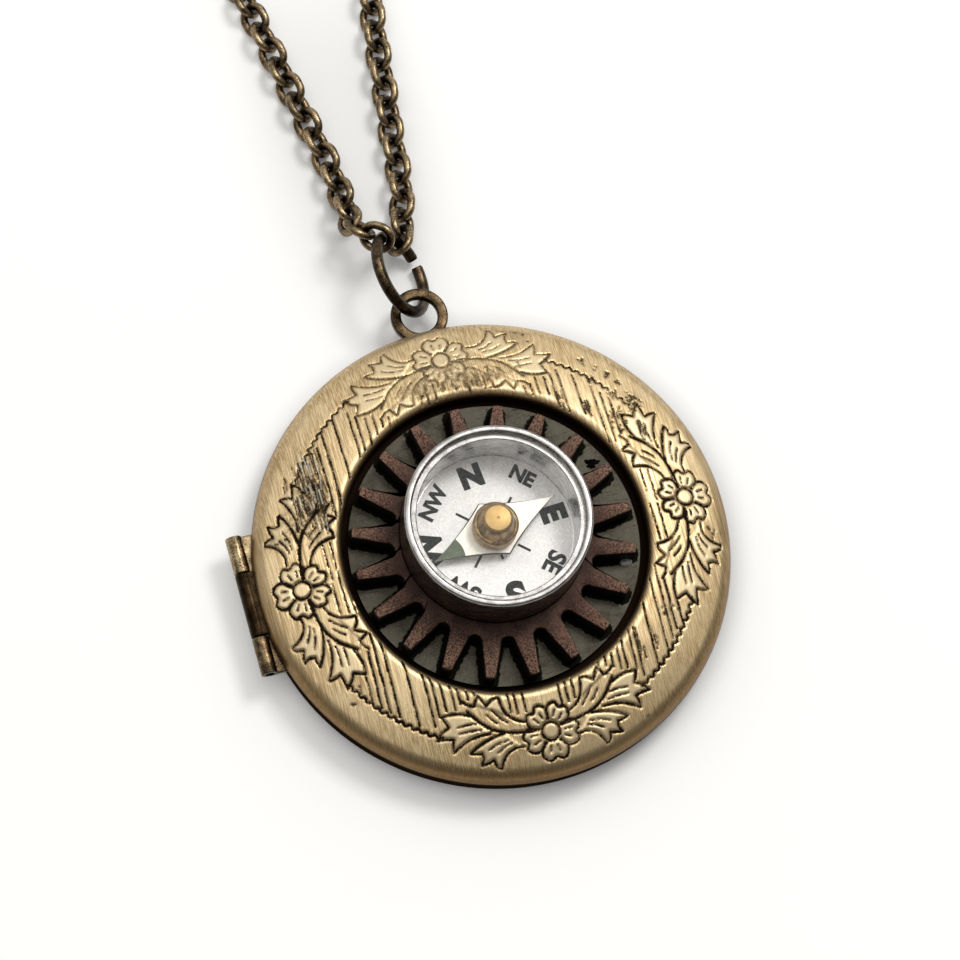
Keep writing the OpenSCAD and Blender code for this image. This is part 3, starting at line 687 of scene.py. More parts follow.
# Between two stamps: the middle in degrees, the wavy border's radius and width, how bold the hatching
# is and how far at most its lines stop short
QUARTERS = [(45, 13.45, 0.12, 0.68, 0.65), (135, 13.8, 0.15, 0.85, 0.35), (225, 13.8, 0.19, 1.0, 0.15),
            (315, 13.57, 0.17, 0.85, 0.3)]
BORDER_WAVE = 0.09
BORDER_PITCH = 0.58
# The lowest reach of a spray along it, below which the hatching shows
SPRAY_FOOT = [(0, -1.72), (0.9, -1.5), (1.5, -1.0), (2.3, -1.05), (2.9, -1.5), (3.3, -2.6), (5.1, -2.6),
              (5.3, -1.75), (6.0, -1.85), (6.3, -1.05), (7.3, -0.6), (7.5, 1.2)]


def rounded_through(points, pieces):
    """A line through points, rounded between them. pieces gives how many straight pieces fill a gap."""
    p = np.array(points, float)
    ends = np.concatenate([[2 * p[0] - p[1]], p, [2 * p[-1] - p[-2]]])
    out = []
    for a, b, c, d in zip(ends, ends[1:], ends[2:], ends[3:]):
        count = pieces(c - b)
        t = (np.arange(count) / count)[:, None]
        out.append(0.5 * (2 * b + (c - a) * t + (2 * a - 5 * b + 4 * c - d) * t**2
                          + (3 * b - a - 3 * c + d) * t**3))
    return np.concatenate(out + [p[-1:]])


def smooth_line(points):
    if len(points) < 3:
        return np.array(points, float)
    return rounded_through(points, lambda gap: max(2, int(np.linalg.norm(gap) / LINE_STEP)))


def on_lid(line, side):
    """Points of a spray at one side of the locket, as plan coordinates."""
    turn = math.radians(side) - line[:, 0] / BAND_MID_R
    r = BAND_MID_R + line[:, 1]
    return np.stack([r * np.cos(turn), r * np.sin(turn)], 1)


def spray():
    """(strokes, raised outlines) of one stamp. A stroke is (line, width)."""
    strokes, raised = [], []
    petal = smooth_line(PETAL)
    for i in range(PETALS):
        a = math.radians(90 + i * 360 / PETALS)
        raised.append(turned_plan(petal, a) + BUTTON)
        strokes.append((raised[-1], OUTLINE_W))
        strokes += [(turned_plan(np.array(vein), a) + BUTTON, VEIN_W) for vein in PETAL_LINES]
    raised.append(profile_arc(BUTTON, BUTTON_R, 0, 360, 28))
    strokes.append((raised[-1], OUTLINE_W))
    for mirror in (1, -1):
        flip = np.array([mirror, 1])
        strokes.append((smooth_line(STEM) * flip, STEM_W))
        for leaf in (UPPER_LEAF, OUTER_LEAF, LOWER_LEAF):
            corners = [[]] + [part[-1:] for part in leaf]
            parts = [smooth_line(corner + part) * flip for corner, part in zip(corners, leaf)]
            strokes += [(part, OUTLINE_W) for part in parts]
            raised.append(np.concatenate(parts))
        strokes += [(smooth_line(vein) * flip, VEIN_W) for vein in VEINS]
    return strokes, raised


def hatching(random):
    """Straight lines along Y between the inner rim, the sprays and the wavy border."""
    foot = np.array(SPRAY_FOOT)
    strokes = []
    for middle, border_r, _, bold, short in QUARTERS:
        side = 1 if abs(middle - 180) > 90 else -1
        up = 1 if middle < 180 else -1
        for k in range(HATCH_COUNT):
            x = HATCH_FIRST + k * HATCH_STEP
            if any(abs(x - out) < 0.01 for out in HATCH_LEFT_OUT):
                continue
            at = side * x + random.uniform(-0.06, 0.06)
            y = up * np.arange(0, border_r, 0.08)
            r = np.hypot(at, y)
            turn = np.degrees(np.arctan2(y, at))
            off = np.abs((turn + 45) % 90 - 45)
            reach = np.interp(np.radians(off) * BAND_MID_R, foot[:, 0], foot[:, 1] - 0.1)
            inner = HATCH_INNER_R + random.uniform(0, short)
            outer = border_r - 0.1 - random.uniform(0, short)
            keep = (r > inner) & (r < outer) & (r - BAND_MID_R < reach)
            edges = np.flatnonzero(np.diff(np.concatenate([[0], keep.astype(int), [0]])))
            for start, end in edges.reshape(-1, 2):
                if end - start < 5:
                    continue
                ys = np.append(y[start:end][:: max(1, (end - start) // 8)], y[end - 1])
                wobble = random.normal(0, 0.012, len(ys))
                strokes.append((np.stack([at + wobble, ys], 1), HATCH_W * bold * random.uniform(0.75, 1.2)))
    return strokes


def border():
    """The wavy border between neighbouring sprays."""
    strokes = []
    half = (45 - math.degrees(7.0 / BAND_MID_R)) * 1.06
    for middle, radius, width, _, _ in QUARTERS:
        turn = np.radians(np.linspace(middle - half, middle + half, 90))
        r = radius + BORDER_WAVE * np.sin(turn * radius / BORDER_PITCH * TAU)
        strokes.append((np.stack([r * np.cos(turn), r * np.sin(turn)], 1), width))
    return strokes


# Damage: (x, y, reach across, reach along, how many short cuts, longest cut, how many bright burrs)
SCRATCHED = [(-10.8, 5.7, 0.95, 2.3, 44, 2.1, 28), (-11.7, 4.6, 0.9, 1.2, 16, 1.2, 6),
             (-12.2, 6.4, 0.35, 0.8, 9, 0.6, 6), (7.3, -9.6, 0.22, 0.8, 7, 0.8, 0),
             (8.4, -9.2, 0.2, 0.7, 6, 0.7, 0), (11.75, 5.2, 0.3, 0.55, 10, 0.6, 0),
             (8.5, 7.2, 0.28, 0.5, 9, 0.7, 0), (6.9, 8.4, 0.4, 0.6, 9, 0.9, 0),
             (10.3, 6.7, 0.3, 0.3, 11, 0.4, 0), (10.6, 8.25, 0.35, 0.28, 10, 0.3, 0),
             (4.7, 14.5, 0.8, 0.15, 7, 0.3, 0), (9.4, 9.4, 0.4, 0.3, 5, 0.4, 0)]
# Soft brown cuts where the top stamp is rubbed away
SOFT_CUTS = [(1.6, 11.0, 0.7, 0.35, 14), (0.0, 11.0, 1.6, 0.35, 18), (2.9, 11.2, 1.2, 0.5, 9)]
# Pits: (x, y, reach, how many)
PITTED = [(9.2, 11.15, 0.22, 12), (9.9, 10.45, 0.22, 4), (10.6, 9.75, 0.22, 5), (11.15, 9.05, 0.22, 5),
          (11.7, 7.5, 0.5, 22), (10.2, 5.9, 0.5, 10), (9.9, -7.2, 0.5, 8), (14.4, -2.6, 0.5, 5),
          (1.0, 11.2, 1.6, 14), (-1.8, 11.3, 1.1, 6), (-11.9, -8.2, 0.2, 3), (6.8, -13.8, 0.15, 2),
          (-13.9, 3.5, 0.5, 4), (5.5, 14.2, 0.7, 5)]
# Rubbed and bumpy: (x, y, reach across, reach along)
RUBBED = [(0.6, 11.7, 2.2, 0.9), (-2.2, 11.3, 1.5, 0.7), (3.2, 11.1, 1.2, 0.5), (-10.9, 6.2, 1.2, 2.4),
          (11.5, 7.3, 0.7, 0.7), (-12.6, 4.3, 0.8, 1.2)]


def distance_to(points, line):
    """Shortest distance from each point to a line of straight pieces."""
    best = np.full(len(points), 9.0)
    for a, b in zip(line[:-1], line[1:]):
        d = b - a
        t = unit(((points - a) @ d) / max(d @ d, 1e-12))
        best = np.minimum(best, np.hypot(*(points - a - t[:, None] * d).T))
    return best


def inside(points, outline):
    """Which points lie inside a closed outline."""
    x, y = points.T
    hit = np.zeros(len(points), bool)
    for (x0, y0), (x1, y1) in zip(outline, np.roll(outline, -1, 0)):
        if y0 != y1:
            hit ^= ((y0 > y) != (y1 > y)) & (x < (x1 - x0) * (y - y0) / (y1 - y0) + x0)
    return hit


def near(points, line, reach):
    """The numbers of the points in a box round a line."""
    low, high = line.min(0) - reach, line.max(0) + reach
    return np.flatnonzero(((points > low) & (points < high)).all(1))


def blob(points, middle, reach):
    """1 at the middle, and fading softly over the reach."""
    return np.exp(-(((points - middle) / reach) ** 2).sum(1))


def engrave(points):
    """What the engraving and the damage do at each plan point, as named arrays. The line array is the
    distance to the nearest line's edge."""
    random = np.random.default_rng(SEED)
    count = len(points)
    line, burr = np.full(count, FAR), np.full(count, FAR)
    ink = np.ones(count)
    raised, stain, worn = np.zeros(count), np.zeros(count), np.zeros(count)
    for x, y, across, along in RUBBED:
        worn = np.maximum(worn, blob(points, (x, y), (across, along)))

    def draw(stroke, width, dark=1.0, into=line):
        at = near(points, stroke, DRAW_REACH)
        if len(at):
            d = distance_to(points[at], stroke) - width / 2
            closer = d < into[at]
            into[at] = np.where(closer, d, into[at])
            if into is line:
                ink[at] = np.where(closer, dark, ink[at])

    def scattered(x, y, across, along):
        return np.array([x + random.normal(0, across / 1.7), y + random.normal(0, along / 1.7)])

    strokes, outlines = spray()
    for side, bold, dark in STAMPS:
        for stroke, width in strokes:
            draw(on_lid(stroke, side), width * bold * random.uniform(0.88, 1.12), dark)
        for outline in outlines:
            closed = on_lid(outline, side)
            at = near(points, closed, 0)
            within = at[inside(points[at], closed)]
            if len(within):
                edge = distance_to(points[within], np.concatenate([closed, closed[:1]]))
                raised[within] = np.maximum(raised[within], unit(edge / RAISE_OVER))
    for stroke, width in hatching(random) + border():
        draw(stroke, width)
    ink *= 1 - 0.7 * worn * (points[:, 1] > 9)
    raised *= 1 - 0.6 * worn
    for x, y, across, along, cuts, longest, burrs in SCRATCHED:
        stain = np.maximum(stain, blob(points, (x, y), (across, along)) * min(1, cuts / 40))
        for i in range(cuts + burrs):
            start = scattered(x, y, across, along)
            length = random.uniform(0.25, 1) * longest * (1 if i < cuts else 0.65)
            cut = np.array([start, start + (random.normal(0, 0.05), length)])
            if i < cuts:
                draw(cut, random.uniform(0.05, 0.12), 0.85)
            else:
                draw(cut, random.uniform(0.0, 0.05), into=burr)
    for x, y, across, along, cuts in SOFT_CUTS:
        for _ in range(cuts):
            start = scattered(x, y, across, along)
            cut = np.array([start, start + (random.normal(0, 0.06), random.uniform(0.15, 0.5))])
            draw(cut, random.uniform(0.05, 0.11), 0.5)
    for x, y, reach, pits in PITTED:
        for _ in range(pits):
            at = np.array([x, y]) + random.normal(0, reach / 1.6, 2)
            draw(np.array([at, at + random.normal(0, 0.07, 2)]), random.uniform(0.05, 0.16), 0.85)
        stain = np.maximum(stain, 0.4 * blob(points, (x, y), reach))
    burr = unit(0.5 - burr / BURR_SLOPE)
    return {"line": line, "ink": ink, "raised": raised, "stain": stain, "worn": worn, "burr": burr}


# The fine part of the lid's mesh: its columns, and its rows' distances from the centre
FINE_COLUMNS = 1160
FINE_FROM, FINE_TO = 15.22, 10.37
FINE_RADII = np.linspace(FINE_FROM, FINE_TO, 67)


def fan_ring(outer_start, outer_count, inner_start, inner_count):
    """Faces between two rows whose counts of points differ by a whole factor."""
    step = max(outer_count, inner_count) // min(outer_count, inner_count)
    faces = []
    for k in range(min(outer_count, inner_count)):
        if outer_count >= inner_count:
            many = [outer_start + (k * step + j) % outer_count for j in range(step + 1)]
            faces.append(many + [inner_start + (k + 1) % inner_count, inner_start + k])
        else:
            many = [inner_start + (k * step + j) % inner_count for j in range(step, -1, -1)]
            faces.append([outer_start + k, outer_start + (k + 1) % outer_count] + many)
    return faces


def knuckle_notch(points, spans, reach):
    """Pushes what lies too near the hinge's line out to the reach, along the stretches given."""
    for low, high in spans:
        at = (points[:, 1] > low) & (points[:, 1] < high)
        d = points[:, [0, 2]] - (HINGE_X, HINGE_Z)
        away = np.hypot(*d.T)
        close = at & (away < reach)
        points[close, 0] = HINGE_X + d[close, 0] / away[close] * reach
        points[close, 2] = HINGE_Z + d[close, 1] / away[close] * reach
    return points


def lid_surface():
    """Points and faces of the whole front cover, and where its fine part starts and ends."""
    edge_turn = math.degrees(math.acos((FINE_FROM - EDGE_C[0]) / EDGE_R))
    lip_turn = math.degrees(math.acos((FINE_TO - LIP_C[0]) / LIP_R))
    outer_rows = np.concatenate([[(LID_R - 0.05, LID_Z), (LID_R, LID_Z + 0.05)],
                                 profile_arc(EDGE_C, EDGE_R, 0, edge_turn, 12)])[:-1]
    tray_r = RECESS_R + SHEET
    tray_low = TRAY_Z - SHEET
    inner_turn = math.degrees(math.acos((tray_r - DOME_C[0]) / (DOME_R - SHEET)))
    inner_rows = np.concatenate([
        profile_arc(LIP_C, LIP_R, lip_turn, 180, 6, 1),
        [(RECESS_R, TRAY_Z + 0.4), (RECESS_R, TRAY_Z + 0.08), (RECESS_R - 0.08, TRAY_Z), (6, TRAY_Z),
         (0.05, TRAY_Z), (0.05, tray_low), (6, tray_low), (tray_r, tray_low)],
        profile_arc(DOME_C, DOME_R - SHEET, inner_turn, math.degrees(EDGE_END), 4),
        profile_arc(EDGE_C, EDGE_R - SHEET, math.degrees(EDGE_END), 0, 6, 1),
        [(LID_R - SHEET, LID_Z)]])
    fine_rows = zip(FINE_RADII, band_height(FINE_RADII))
    outer_columns, inner_columns = FINE_COLUMNS // 2, FINE_COLUMNS // 4
    points, faces = joined(lathe(outer_rows, outer_columns), lathe(fine_rows, FINE_COLUMNS),
                           lathe(inner_rows, inner_columns))
    start = len(outer_rows) * outer_columns
    end = start + len(FINE_RADII) * FINE_COLUMNS
    faces += fan_ring(start - outer_columns, outer_columns, start, FINE_COLUMNS)
    faces += fan_ring(end - FINE_COLUMNS, FINE_COLUMNS, end, inner_columns)
    faces += fan_ring(len(points) - inner_columns, inner_columns, 0, outer_columns)
    return points, faces, slice(start, end)


def carved(fine, marks):
    """The fine part's points, lowered in the lines and raised on the petals, leaves and burrs."""
    groove = unit(0.5 - marks["line"] / LINE_SLOPE)
    groove = groove * groove * (3 - 2 * groove)
    puff = marks["raised"] * (2 - marks["raised"]) * RAISE
    rise = puff + BURR_RISE * marks["burr"] - LINE_DEPTH * groove * (0.4 + 0.6 * marks["ink"])
    slope = np.repeat(np.gradient(band_height(FINE_RADII), FINE_RADII), FINE_COLUMNS)
    r = np.hypot(*fine[:, :2].T)
    normal = np.stack([-slope * fine[:, 0] / r, -slope * fine[:, 1] / r, np.ones(len(fine))], 1)
    normal /= np.linalg.norm(normal, axis=1)[:, None]
    return fine + normal * rise[:, None]


def lid(bronze):
    """The front cover as one mesh: fine where it is engraved and coarse elsewhere."""
    points, faces, fine = lid_surface()
    marks = engrave(points[fine, :2])
    points[fine] = carved(points[fine], marks)
    middle = (HINGE_LOW + OUTER_LEN + KNUCKLE_GAP, HINGE_HIGH - OUTER_LEN - KNUCKLE_GAP)
    spans = [(HINGE_LOW - KNUCKLE_GAP, middle[0]), (middle[1], HINGE_HIGH + KNUCKLE_GAP)]
    points = knuckle_notch(points, spans, KNUCKLE_R + KNUCKLE_CLEAR)
    body = len(points)
    leaf = box_shape((HINGE_X, middle[0], LID_Z), (-(LID_R - SHEET), middle[1], LID_Z + LEAF_H))
    points, faces = joined((points, faces), rounded_bar(KNUCKLE_R, *middle), leaf)
    r, z = np.hypot(points[:, 0], points[:, 1]), points[:, 2]
    # Brown towards the outer edge: tarnished brass, with painted shade that is stronger towards -Y
    edge = unit((r - 14.5) / 1.4) ** 2 * (0.5 - 0.25 * points[:, 1] / LID_R)
    # Painted shade: nearly black on the lower outer wall
    wall = (r > 15) * unit((LID_Z + 0.95 - z) / 0.75)
    # Nearly black down the recess's wall and over its tray: patina with painted shade
    recess = (r < LIP_C[0] - 0.15) & (z > TRAY_Z - 0.1)
    recess = recess * unit((LIP_C[1] + 0.46 - z) / 0.2)
    obj = make_mesh("engraved_lid", points, faces, 35, [brass_material("engraved_brass", True), bronze],
                    tarnish=np.maximum(np.maximum(edge, wall), recess), rub=np.full(len(points), 0.1))
    second_material(obj, body)
    for name, values in marks.items():
        whole = np.full(len(points), FAR if name == "line" else 0.0)
        whole[fine] = values
        point_attribute(obj, name, whole)
    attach(obj, "lid")
    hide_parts("front_cover")


def back_cover(bronze):
    """The back dish with its inner lip, the loop for the jump ring and the outer knuckles."""
    centre = np.array([BACK_R - BACK_EDGE_R, BACK_EDGE_R])
    top = SPLIT_Z - SPLIT_GAP / 2
    lip_top = SPLIT_Z + INNER_LIP_H
    lip_out = LID_R - SHEET - INNER_LIP_GAP
    lip_in = lip_out - SHEET
    floor_turn = math.degrees(math.acos((lip_in - centre[0]) / (BACK_EDGE_R - SHEET)))
    profile = np.concatenate([
        [(0.02, 0), (7, 0)], profile_arc(centre, BACK_EDGE_R, -90, 0, 14),
        [(BACK_R, top - 0.06), (BACK_R - 0.06, top), (lip_out, top), (lip_out, lip_top - 0.05),
         (lip_out - 0.05, lip_top), (lip_in + 0.05, lip_top), (lip_in, lip_top - 0.05)],
        profile_arc(centre, BACK_EDGE_R - SHEET, -floor_turn, -90, 6), [(7, SHEET), (0.02, SHEET)]])
    dish, dish_faces = lathe(profile, 640, ends="capped")
    middle = (HINGE_LOW + OUTER_LEN, HINGE_HIGH - OUTER_LEN)
    dish = knuckle_notch(dish, [middle], KNUCKLE_R + KNUCKLE_CLEAR)
    shapes = [(dish, dish_faces)]
    for low, high in ((HINGE_LOW, middle[0]), (middle[1], HINGE_HIGH)):
        shapes.append(rounded_bar(KNUCKLE_R, low, high))
        shapes.append(box_shape((HINGE_X, low, top - LEAF_H), (0.02 - lip_in, high, top)))
    b = LOOP_BEVEL
    corners = [(LOOP_R - b, LOOP_Z + b), (LOOP_R - b, LOOP_Z + LOOP_T - b),
               (LOOP_HOLE_R + b, LOOP_Z + LOOP_T - b), (LOOP_HOLE_R + b, LOOP_Z + b)]
    section = [profile_arc(corner, b, 90 * i - 90, 90 * i, 4) for i, corner in enumerate(corners)]
    ring = lathe(np.concatenate(section), 96, (LOOP_X, LOOP_Y), "joined")
    points, faces = joined(*shapes, ring)
    r = np.hypot(points[:, 0], points[:, 1])
    # Lighter on the knuckle and leaf towards +Y than on those towards -Y, and darker on the loop
    rub = np.where(points[:, 1] > 0, 0.95, 0.35)
    rub[-len(ring[0]):] = 0.16
    # Lightly tarnished all over, and nearly black on the outer wall as painted shade under the lid's edge
    obj = make_mesh("back_dish", points, faces, 35, [brass_material("plain_brass", False), bronze],
                    tarnish=0.2 + 0.8 * unit((r - 14.6) / 0.7), rub=rub)
    second_material(obj, len(dish))
    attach(obj, "root")
    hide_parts("back_cover")


# Sun gear
SPIKES = 20
GEAR_ROOT_R = 6.6
NOTCH_W = 0.95
TIP_W = 0.65
POCKET_DEPTH = 0.4
GEAR_BEVEL = 0.11
GEAR_TURN = math.radians(1)
# Room between pieces that are set into each other
FIT_GAP = 0.05


def gear_outline(gear_r):
    """The spiked outline as plan points, anticlockwise."""
    pitch = TAU / SPIKES
    notch_c = GEAR_ROOT_R + NOTCH_W / 2
    mouth = np.array([gear_r * math.cos(pitch / 2), TIP_W / 2 - gear_r * math.sin(pitch / 2)])
    foot = np.array([notch_c, -NOTCH_W / 2])
    low = [mouth + (foot - mouth) * t for t in (0, 0.33, 0.66)]
    bottom = [np.array([notch_c - NOTCH_W / 2 * math.sin(a), -NOTCH_W / 2 * math.cos(a)])
              for a in np.linspace(0, math.pi, 13)]
    high = [np.array([x, -y]) for x, y in reversed(low)]
    notch = turned_plan(np.array(low + bottom + high), pitch / 2)
    tip = np.array([gear_r, 0])
    before = turned_plan(notch[-1], -pitch)
    spike = np.concatenate([[(before + tip) / 2, tip, (tip + notch[0]) / 2], notch])
    return np.concatenate([turned_plan(spike, GEAR_TURN + i * pitch) for i in range(SPIKES)])


def inset(outline, distance):
    """The outline moved inwards by a distance, point by point."""
    edge = np.roll(outline, -1, 0) - outline
    normal = np.stack([edge[:, 1], -edge[:, 0]], 1)
    normal /= np.linalg.norm(normal, axis=1)[:, None]
    both = normal + np.roll(normal, 1, 0)
    both /= np.maximum(np.linalg.norm(both, axis=1), 0.6)[:, None]
    return outline - both * distance


def sun_gear():
    """The spiked wheel, with a pocket for the compass."""
    centre, gear_r, low, high = round_node("sun_gear")
    case_centre, case_r, _, _ = round_node("compass_case")
    outline = gear_outline(gear_r)
    count = len(outline)
    turns = np.arctan2(outline[:, 1], outline[:, 0])
    circle = np.stack([np.cos(turns), np.sin(turns)], 1)
    shift = case_centre - centre
    pocket = circle * (case_r + FIT_GAP) + shift
    pocket_z = high - POCKET_DEPTH
    b = GEAR_BEVEL
    rows = [(outline * 0.02, low), (inset(outline, 0.06), low), (outline, low + 0.06), (outline, high - b),
            (inset(outline, b * 0.3), high - b * 0.35), (inset(outline, b), high), (pocket, high),
            (pocket, pocket_z), (circle * 0.5 + shift, pocket_z)]
    points = stacked([(flat + centre, z) for flat, z in rows])
    r = np.hypot(*(points[:, :2] - centre).T)
    # Painted shade: nearly black under the gear, down its side walls and in the pocket
    shade = np.repeat([1, 1, 1, 1, 0.15, 0, 0.2, 0.9, 0.9], count)
    rub = np.repeat([0, 0, 0, 0.3, 1, 0.75, 0, 0, 0], count) * np.clip((r - 6.5) / 2.5, 0.25, 1)
    obj = make_mesh("sun_gear_worn", points, grid_faces(len(rows), count, "capped"), 32, [gear_material()],
                    shade=shade, rub=rub)
    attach(obj, "lid")
    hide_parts("sun_gear")


# What lies in the recess: how far the painted shade along the gear's edge reaches on the disc, and two dried
# drops
GRIME_REACH = 0.55
GLUE_AT = (8.18, -3.24)
BLOT_AT = (7.87, 3.94)


def backing_disc():
    """The disc in the recess, painted black along the gear's edge as shade."""
    centre, disc_r, low, high = round_node("backing_disc")
    gear_centre, gear_r, _, _ = round_node("sun_gear")
    rings = [(r, high) for r in np.linspace(disc_r - 0.04, GEAR_ROOT_R - 0.2, 60)]
    profile = [(0.01, low), (disc_r, low), (disc_r, high)] + rings + [(0.01, high)]
    points, faces = lathe(profile, 480, centre)
    outline = gear_outline(gear_r) + gear_centre
    away = distance_to(points[:, :2], np.concatenate([outline, outline[:1]]))
    away[inside(points[:, :2], outline)] = 0
    obj = make_mesh("backing_disc_dusty", points, faces, 40, [disc_material()],
                    grime=unit(1 - away / GRIME_REACH))
    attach(obj, "lid")
    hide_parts("backing_disc")


def drop(name, place, reach, height, material, uneven=0.0):
    """A dried drop on the backing disc, an oval across the locket with a smooth or an uneven edge."""
    _, _, _, top = round_node("backing_disc")
    steps = np.radians(np.linspace(0, 90, 7))
    profile = np.stack([reach * np.cos(steps), top + height * np.sin(steps)], 1)
    points, faces = lathe(np.concatenate([profile[:-1], [(0.01, top + height)]]), 40)
    a = np.arctan2(points[:, 1], points[:, 0])
    wave = 1 + uneven * (np.sin(3 * a + 1) + 0.7 * np.sin(5 * a + 2) + 0.5 * np.sin(9 * a))
    points = points * np.stack([wave, 0.72 * wave, np.ones(len(a))], 1) + (*place, 0)
    obj = make_mesh(name, points, faces, 60, [material])
    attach(obj, "lid")


# Compass
CASE_WALL = 0.85
CASE_FLOOR = 0.2
LEDGE_W = 0.3
LENS_SINK = 0.03
LENS_T = 0.4
CASE_RIM_R = 0.19


def compass_case():
    """The turned cup of the compass, with a rounded rim and a ledge for the lens."""
    centre, r, low, high = round_node("compass_case")
    inner = r - CASE_WALL
    seat = inner + LEDGE_W + FIT_GAP
    ledge = high - LENS_SINK - LENS_T - 0.03
    rim = CASE_RIM_R
    profile = np.concatenate([
        [(0.02, low), (r - 0.1, low), (r, low + 0.1), (r, high - 0.6), (r, high - 0.3)],
        profile_arc((r - rim, high - rim), rim, 0, 90, 8),
        profile_arc((seat + rim, high - rim), rim, 90, 180, 8),
        [(seat, ledge), (inner + 0.06, ledge), (inner, ledge - 0.06), (inner, low + CASE_FLOOR),
         (0.02, low + CASE_FLOOR)]])
    points, faces = lathe(profile, 256, centre, "capped")
    far, z = np.hypot(*(points[:, :2] - centre).T), points[:, 2]
    # tarnish marks the lower outer wall for the painted reflection of the gear, and inside marks the inner
    # wall that is painted lighter
    obj = make_mesh("compass_cup", points, faces, 32, [case_material()],
                    tarnish=(far > r - 0.12) * unit((high - 0.3 - z) / 0.3),
                    inside=(far < inner + 0.03) & (z < ledge - 0.03))
    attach(obj, "lid")
    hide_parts("compass_case")


# The dial's print: the side of its north in degrees
NORTH = 93.6
# Clockwise from north: the mark, its place from the centre, its turn from its even place and its size
LETTERS = [("N", 4.1, 2, 1.98), ("NE", 4.42, -0.5, 1.36), ("E", 4.25, 0.6, 2.2), ("SE", 4.5, 0, 1.65),
           ("S", 4.6, 1, 2.6), ("SW", 4.45, -1.5, 1.6), ("W", 4.4, 0, 2.55), ("NW", 4.4, 0, 1.4)]
# Ticks, from and to this far from the centre
LONG_TICK = (1.8, 2.75)
SHORT_TICK = (1.6, 1.95)
TICK_W = 0.17
PRINT_T = 0.012
# How much bolder than their font a single letter and the letters of a pair are
BOLD_ONE, BOLD_PAIR = 0.135, 0.06


def letter_mesh(word, size, bold):
    """Points and faces of a word as thin raised print, centred on the origin, in millimetres."""
    curve = bpy.data.curves.new("word", "FONT")
    curve.body = word
    curve.size = size
    curve.offset = bold
    curve.extrude = PRINT_T / 2
    curve.align_x = "CENTER"
    curve.align_y = "CENTER"
    curve.space_character = 0.96
    curve.resolution_u = 6
    obj = add_object("word", curve)
    bpy.context.view_layer.update()
    mesh = bpy.data.meshes.new_from_object(obj.evaluated_get(bpy.context.evaluated_depsgraph_get()))
    points = np.array([v.co for v in mesh.vertices])
    middle = (points.min(0) + points.max(0)) / 2
    faces = [list(p.vertices) for p in mesh.polygons]
    bpy.data.objects.remove(obj)
    bpy.data.curves.remove(curve)
    bpy.data.meshes.remove(mesh)
    return points - (middle[0], middle[1], 0), faces


def turned(points, degrees, r):
    """Moves print from the centre to a place on the dial, its top outwards."""
    flat = turned_plan(points[:, :2] + (0, r), math.radians(degrees - 90))
    return np.column_stack([flat, points[:, 2]])


def dial_print():
    """The dial's letters and ticks as thin raised print."""
    centre, _, _, top = round_node("compass_dial")
    shapes = []
    for i, (word, r, turn, size) in enumerate(LETTERS):
        points, faces = letter_mesh(word, size, BOLD_ONE if len(word) == 1 else BOLD_PAIR)
        shapes.append((turned(points, NORTH - 45 * i + turn, r), faces))
        start, end = LONG_TICK if i % 2 else SHORT_TICK
        a = TICK_W / 2
        points, faces = box_shape((-a, 0, -PRINT_T / 2), (a, end - start, PRINT_T / 2), 0.004)
        shapes.append((turned(points, NORTH - 45 * i, start), faces))
    points, faces = joined(*shapes)
    points = points + (centre[0], centre[1], top + PRINT_T / 2 + 0.001)
    obj = make_mesh("dial_marks", points, faces, 30, [print_material()])
    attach(obj, "lid")


# Needle
NEEDLE_TURN = math.radians(16)
NEEDLE_REACH = 4.65
NEEDLE_HALF = 2.0
NEEDLE_HOLE_R = 0.93
NEEDLE_BEVEL = 0.06
# Where the green end starts, and over how much it fades
GREEN_FROM = 2.5
GREEN_SOFT = 0.015
HUB_TOP_R = 0.875


def needle():
    """A thin plate with hollow flanks: ivory, and dark green at the end of one arm."""
    hub_centre, _, _, _ = round_node("needle_hub")
    low, high = node_box("needle")
    z0, z1 = low[2], high[2]
    t = np.linspace(0, 1, 22)
    flank = np.stack([NEEDLE_REACH * t, NEEDLE_HALF * ((1 - t) - 0.34 * t * (1 - t))], 1)
    flank[-1] = (NEEDLE_REACH, 0.05)
    quarter = flank[::-1]
    outline = np.concatenate([quarter, (quarter * (-1, 1))[::-1][1:], quarter * (-1, -1),
                              (quarter * (1, -1))[::-1][1:]])
    b = NEEDLE_BEVEL
    angles = np.arctan2(outline[:, 1], outline[:, 0])
    circle = NEEDLE_HOLE_R * np.stack([np.cos(angles), np.sin(angles)], 1)
    far = np.maximum(np.hypot(*outline.T), 0.5)[:, None]
    small, border = outline * (1 - b / far), outline * (1 - 1.9 * b / far)
    rows = [(circle, z0), (small, z0), (outline, z0 + b), (outline, z1 - b), (small, z1), (border, z1),
            (outline * 0.55 + circle * 0.45, z1), (circle, z1)]
    points = stacked([(turned_plan(flat, NEEDLE_TURN) + hub_centre, z) for flat, z in rows])
    plan = np.concatenate([flat for flat, _ in rows])
    # rim paints shade down the sides and over the top bevel
    obj = make_mesh("needle_plate", points, grid_faces(len(rows), len(outline), "joined"), 40,
                    [needle_material()], along=plan[:, 0], beside=plan[:, 1],
                    rim=np.repeat([0, 0.4, 1, 1, 1, 0, 0, 0], len(outline)))
    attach(obj, "pointer")
    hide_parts("needle")


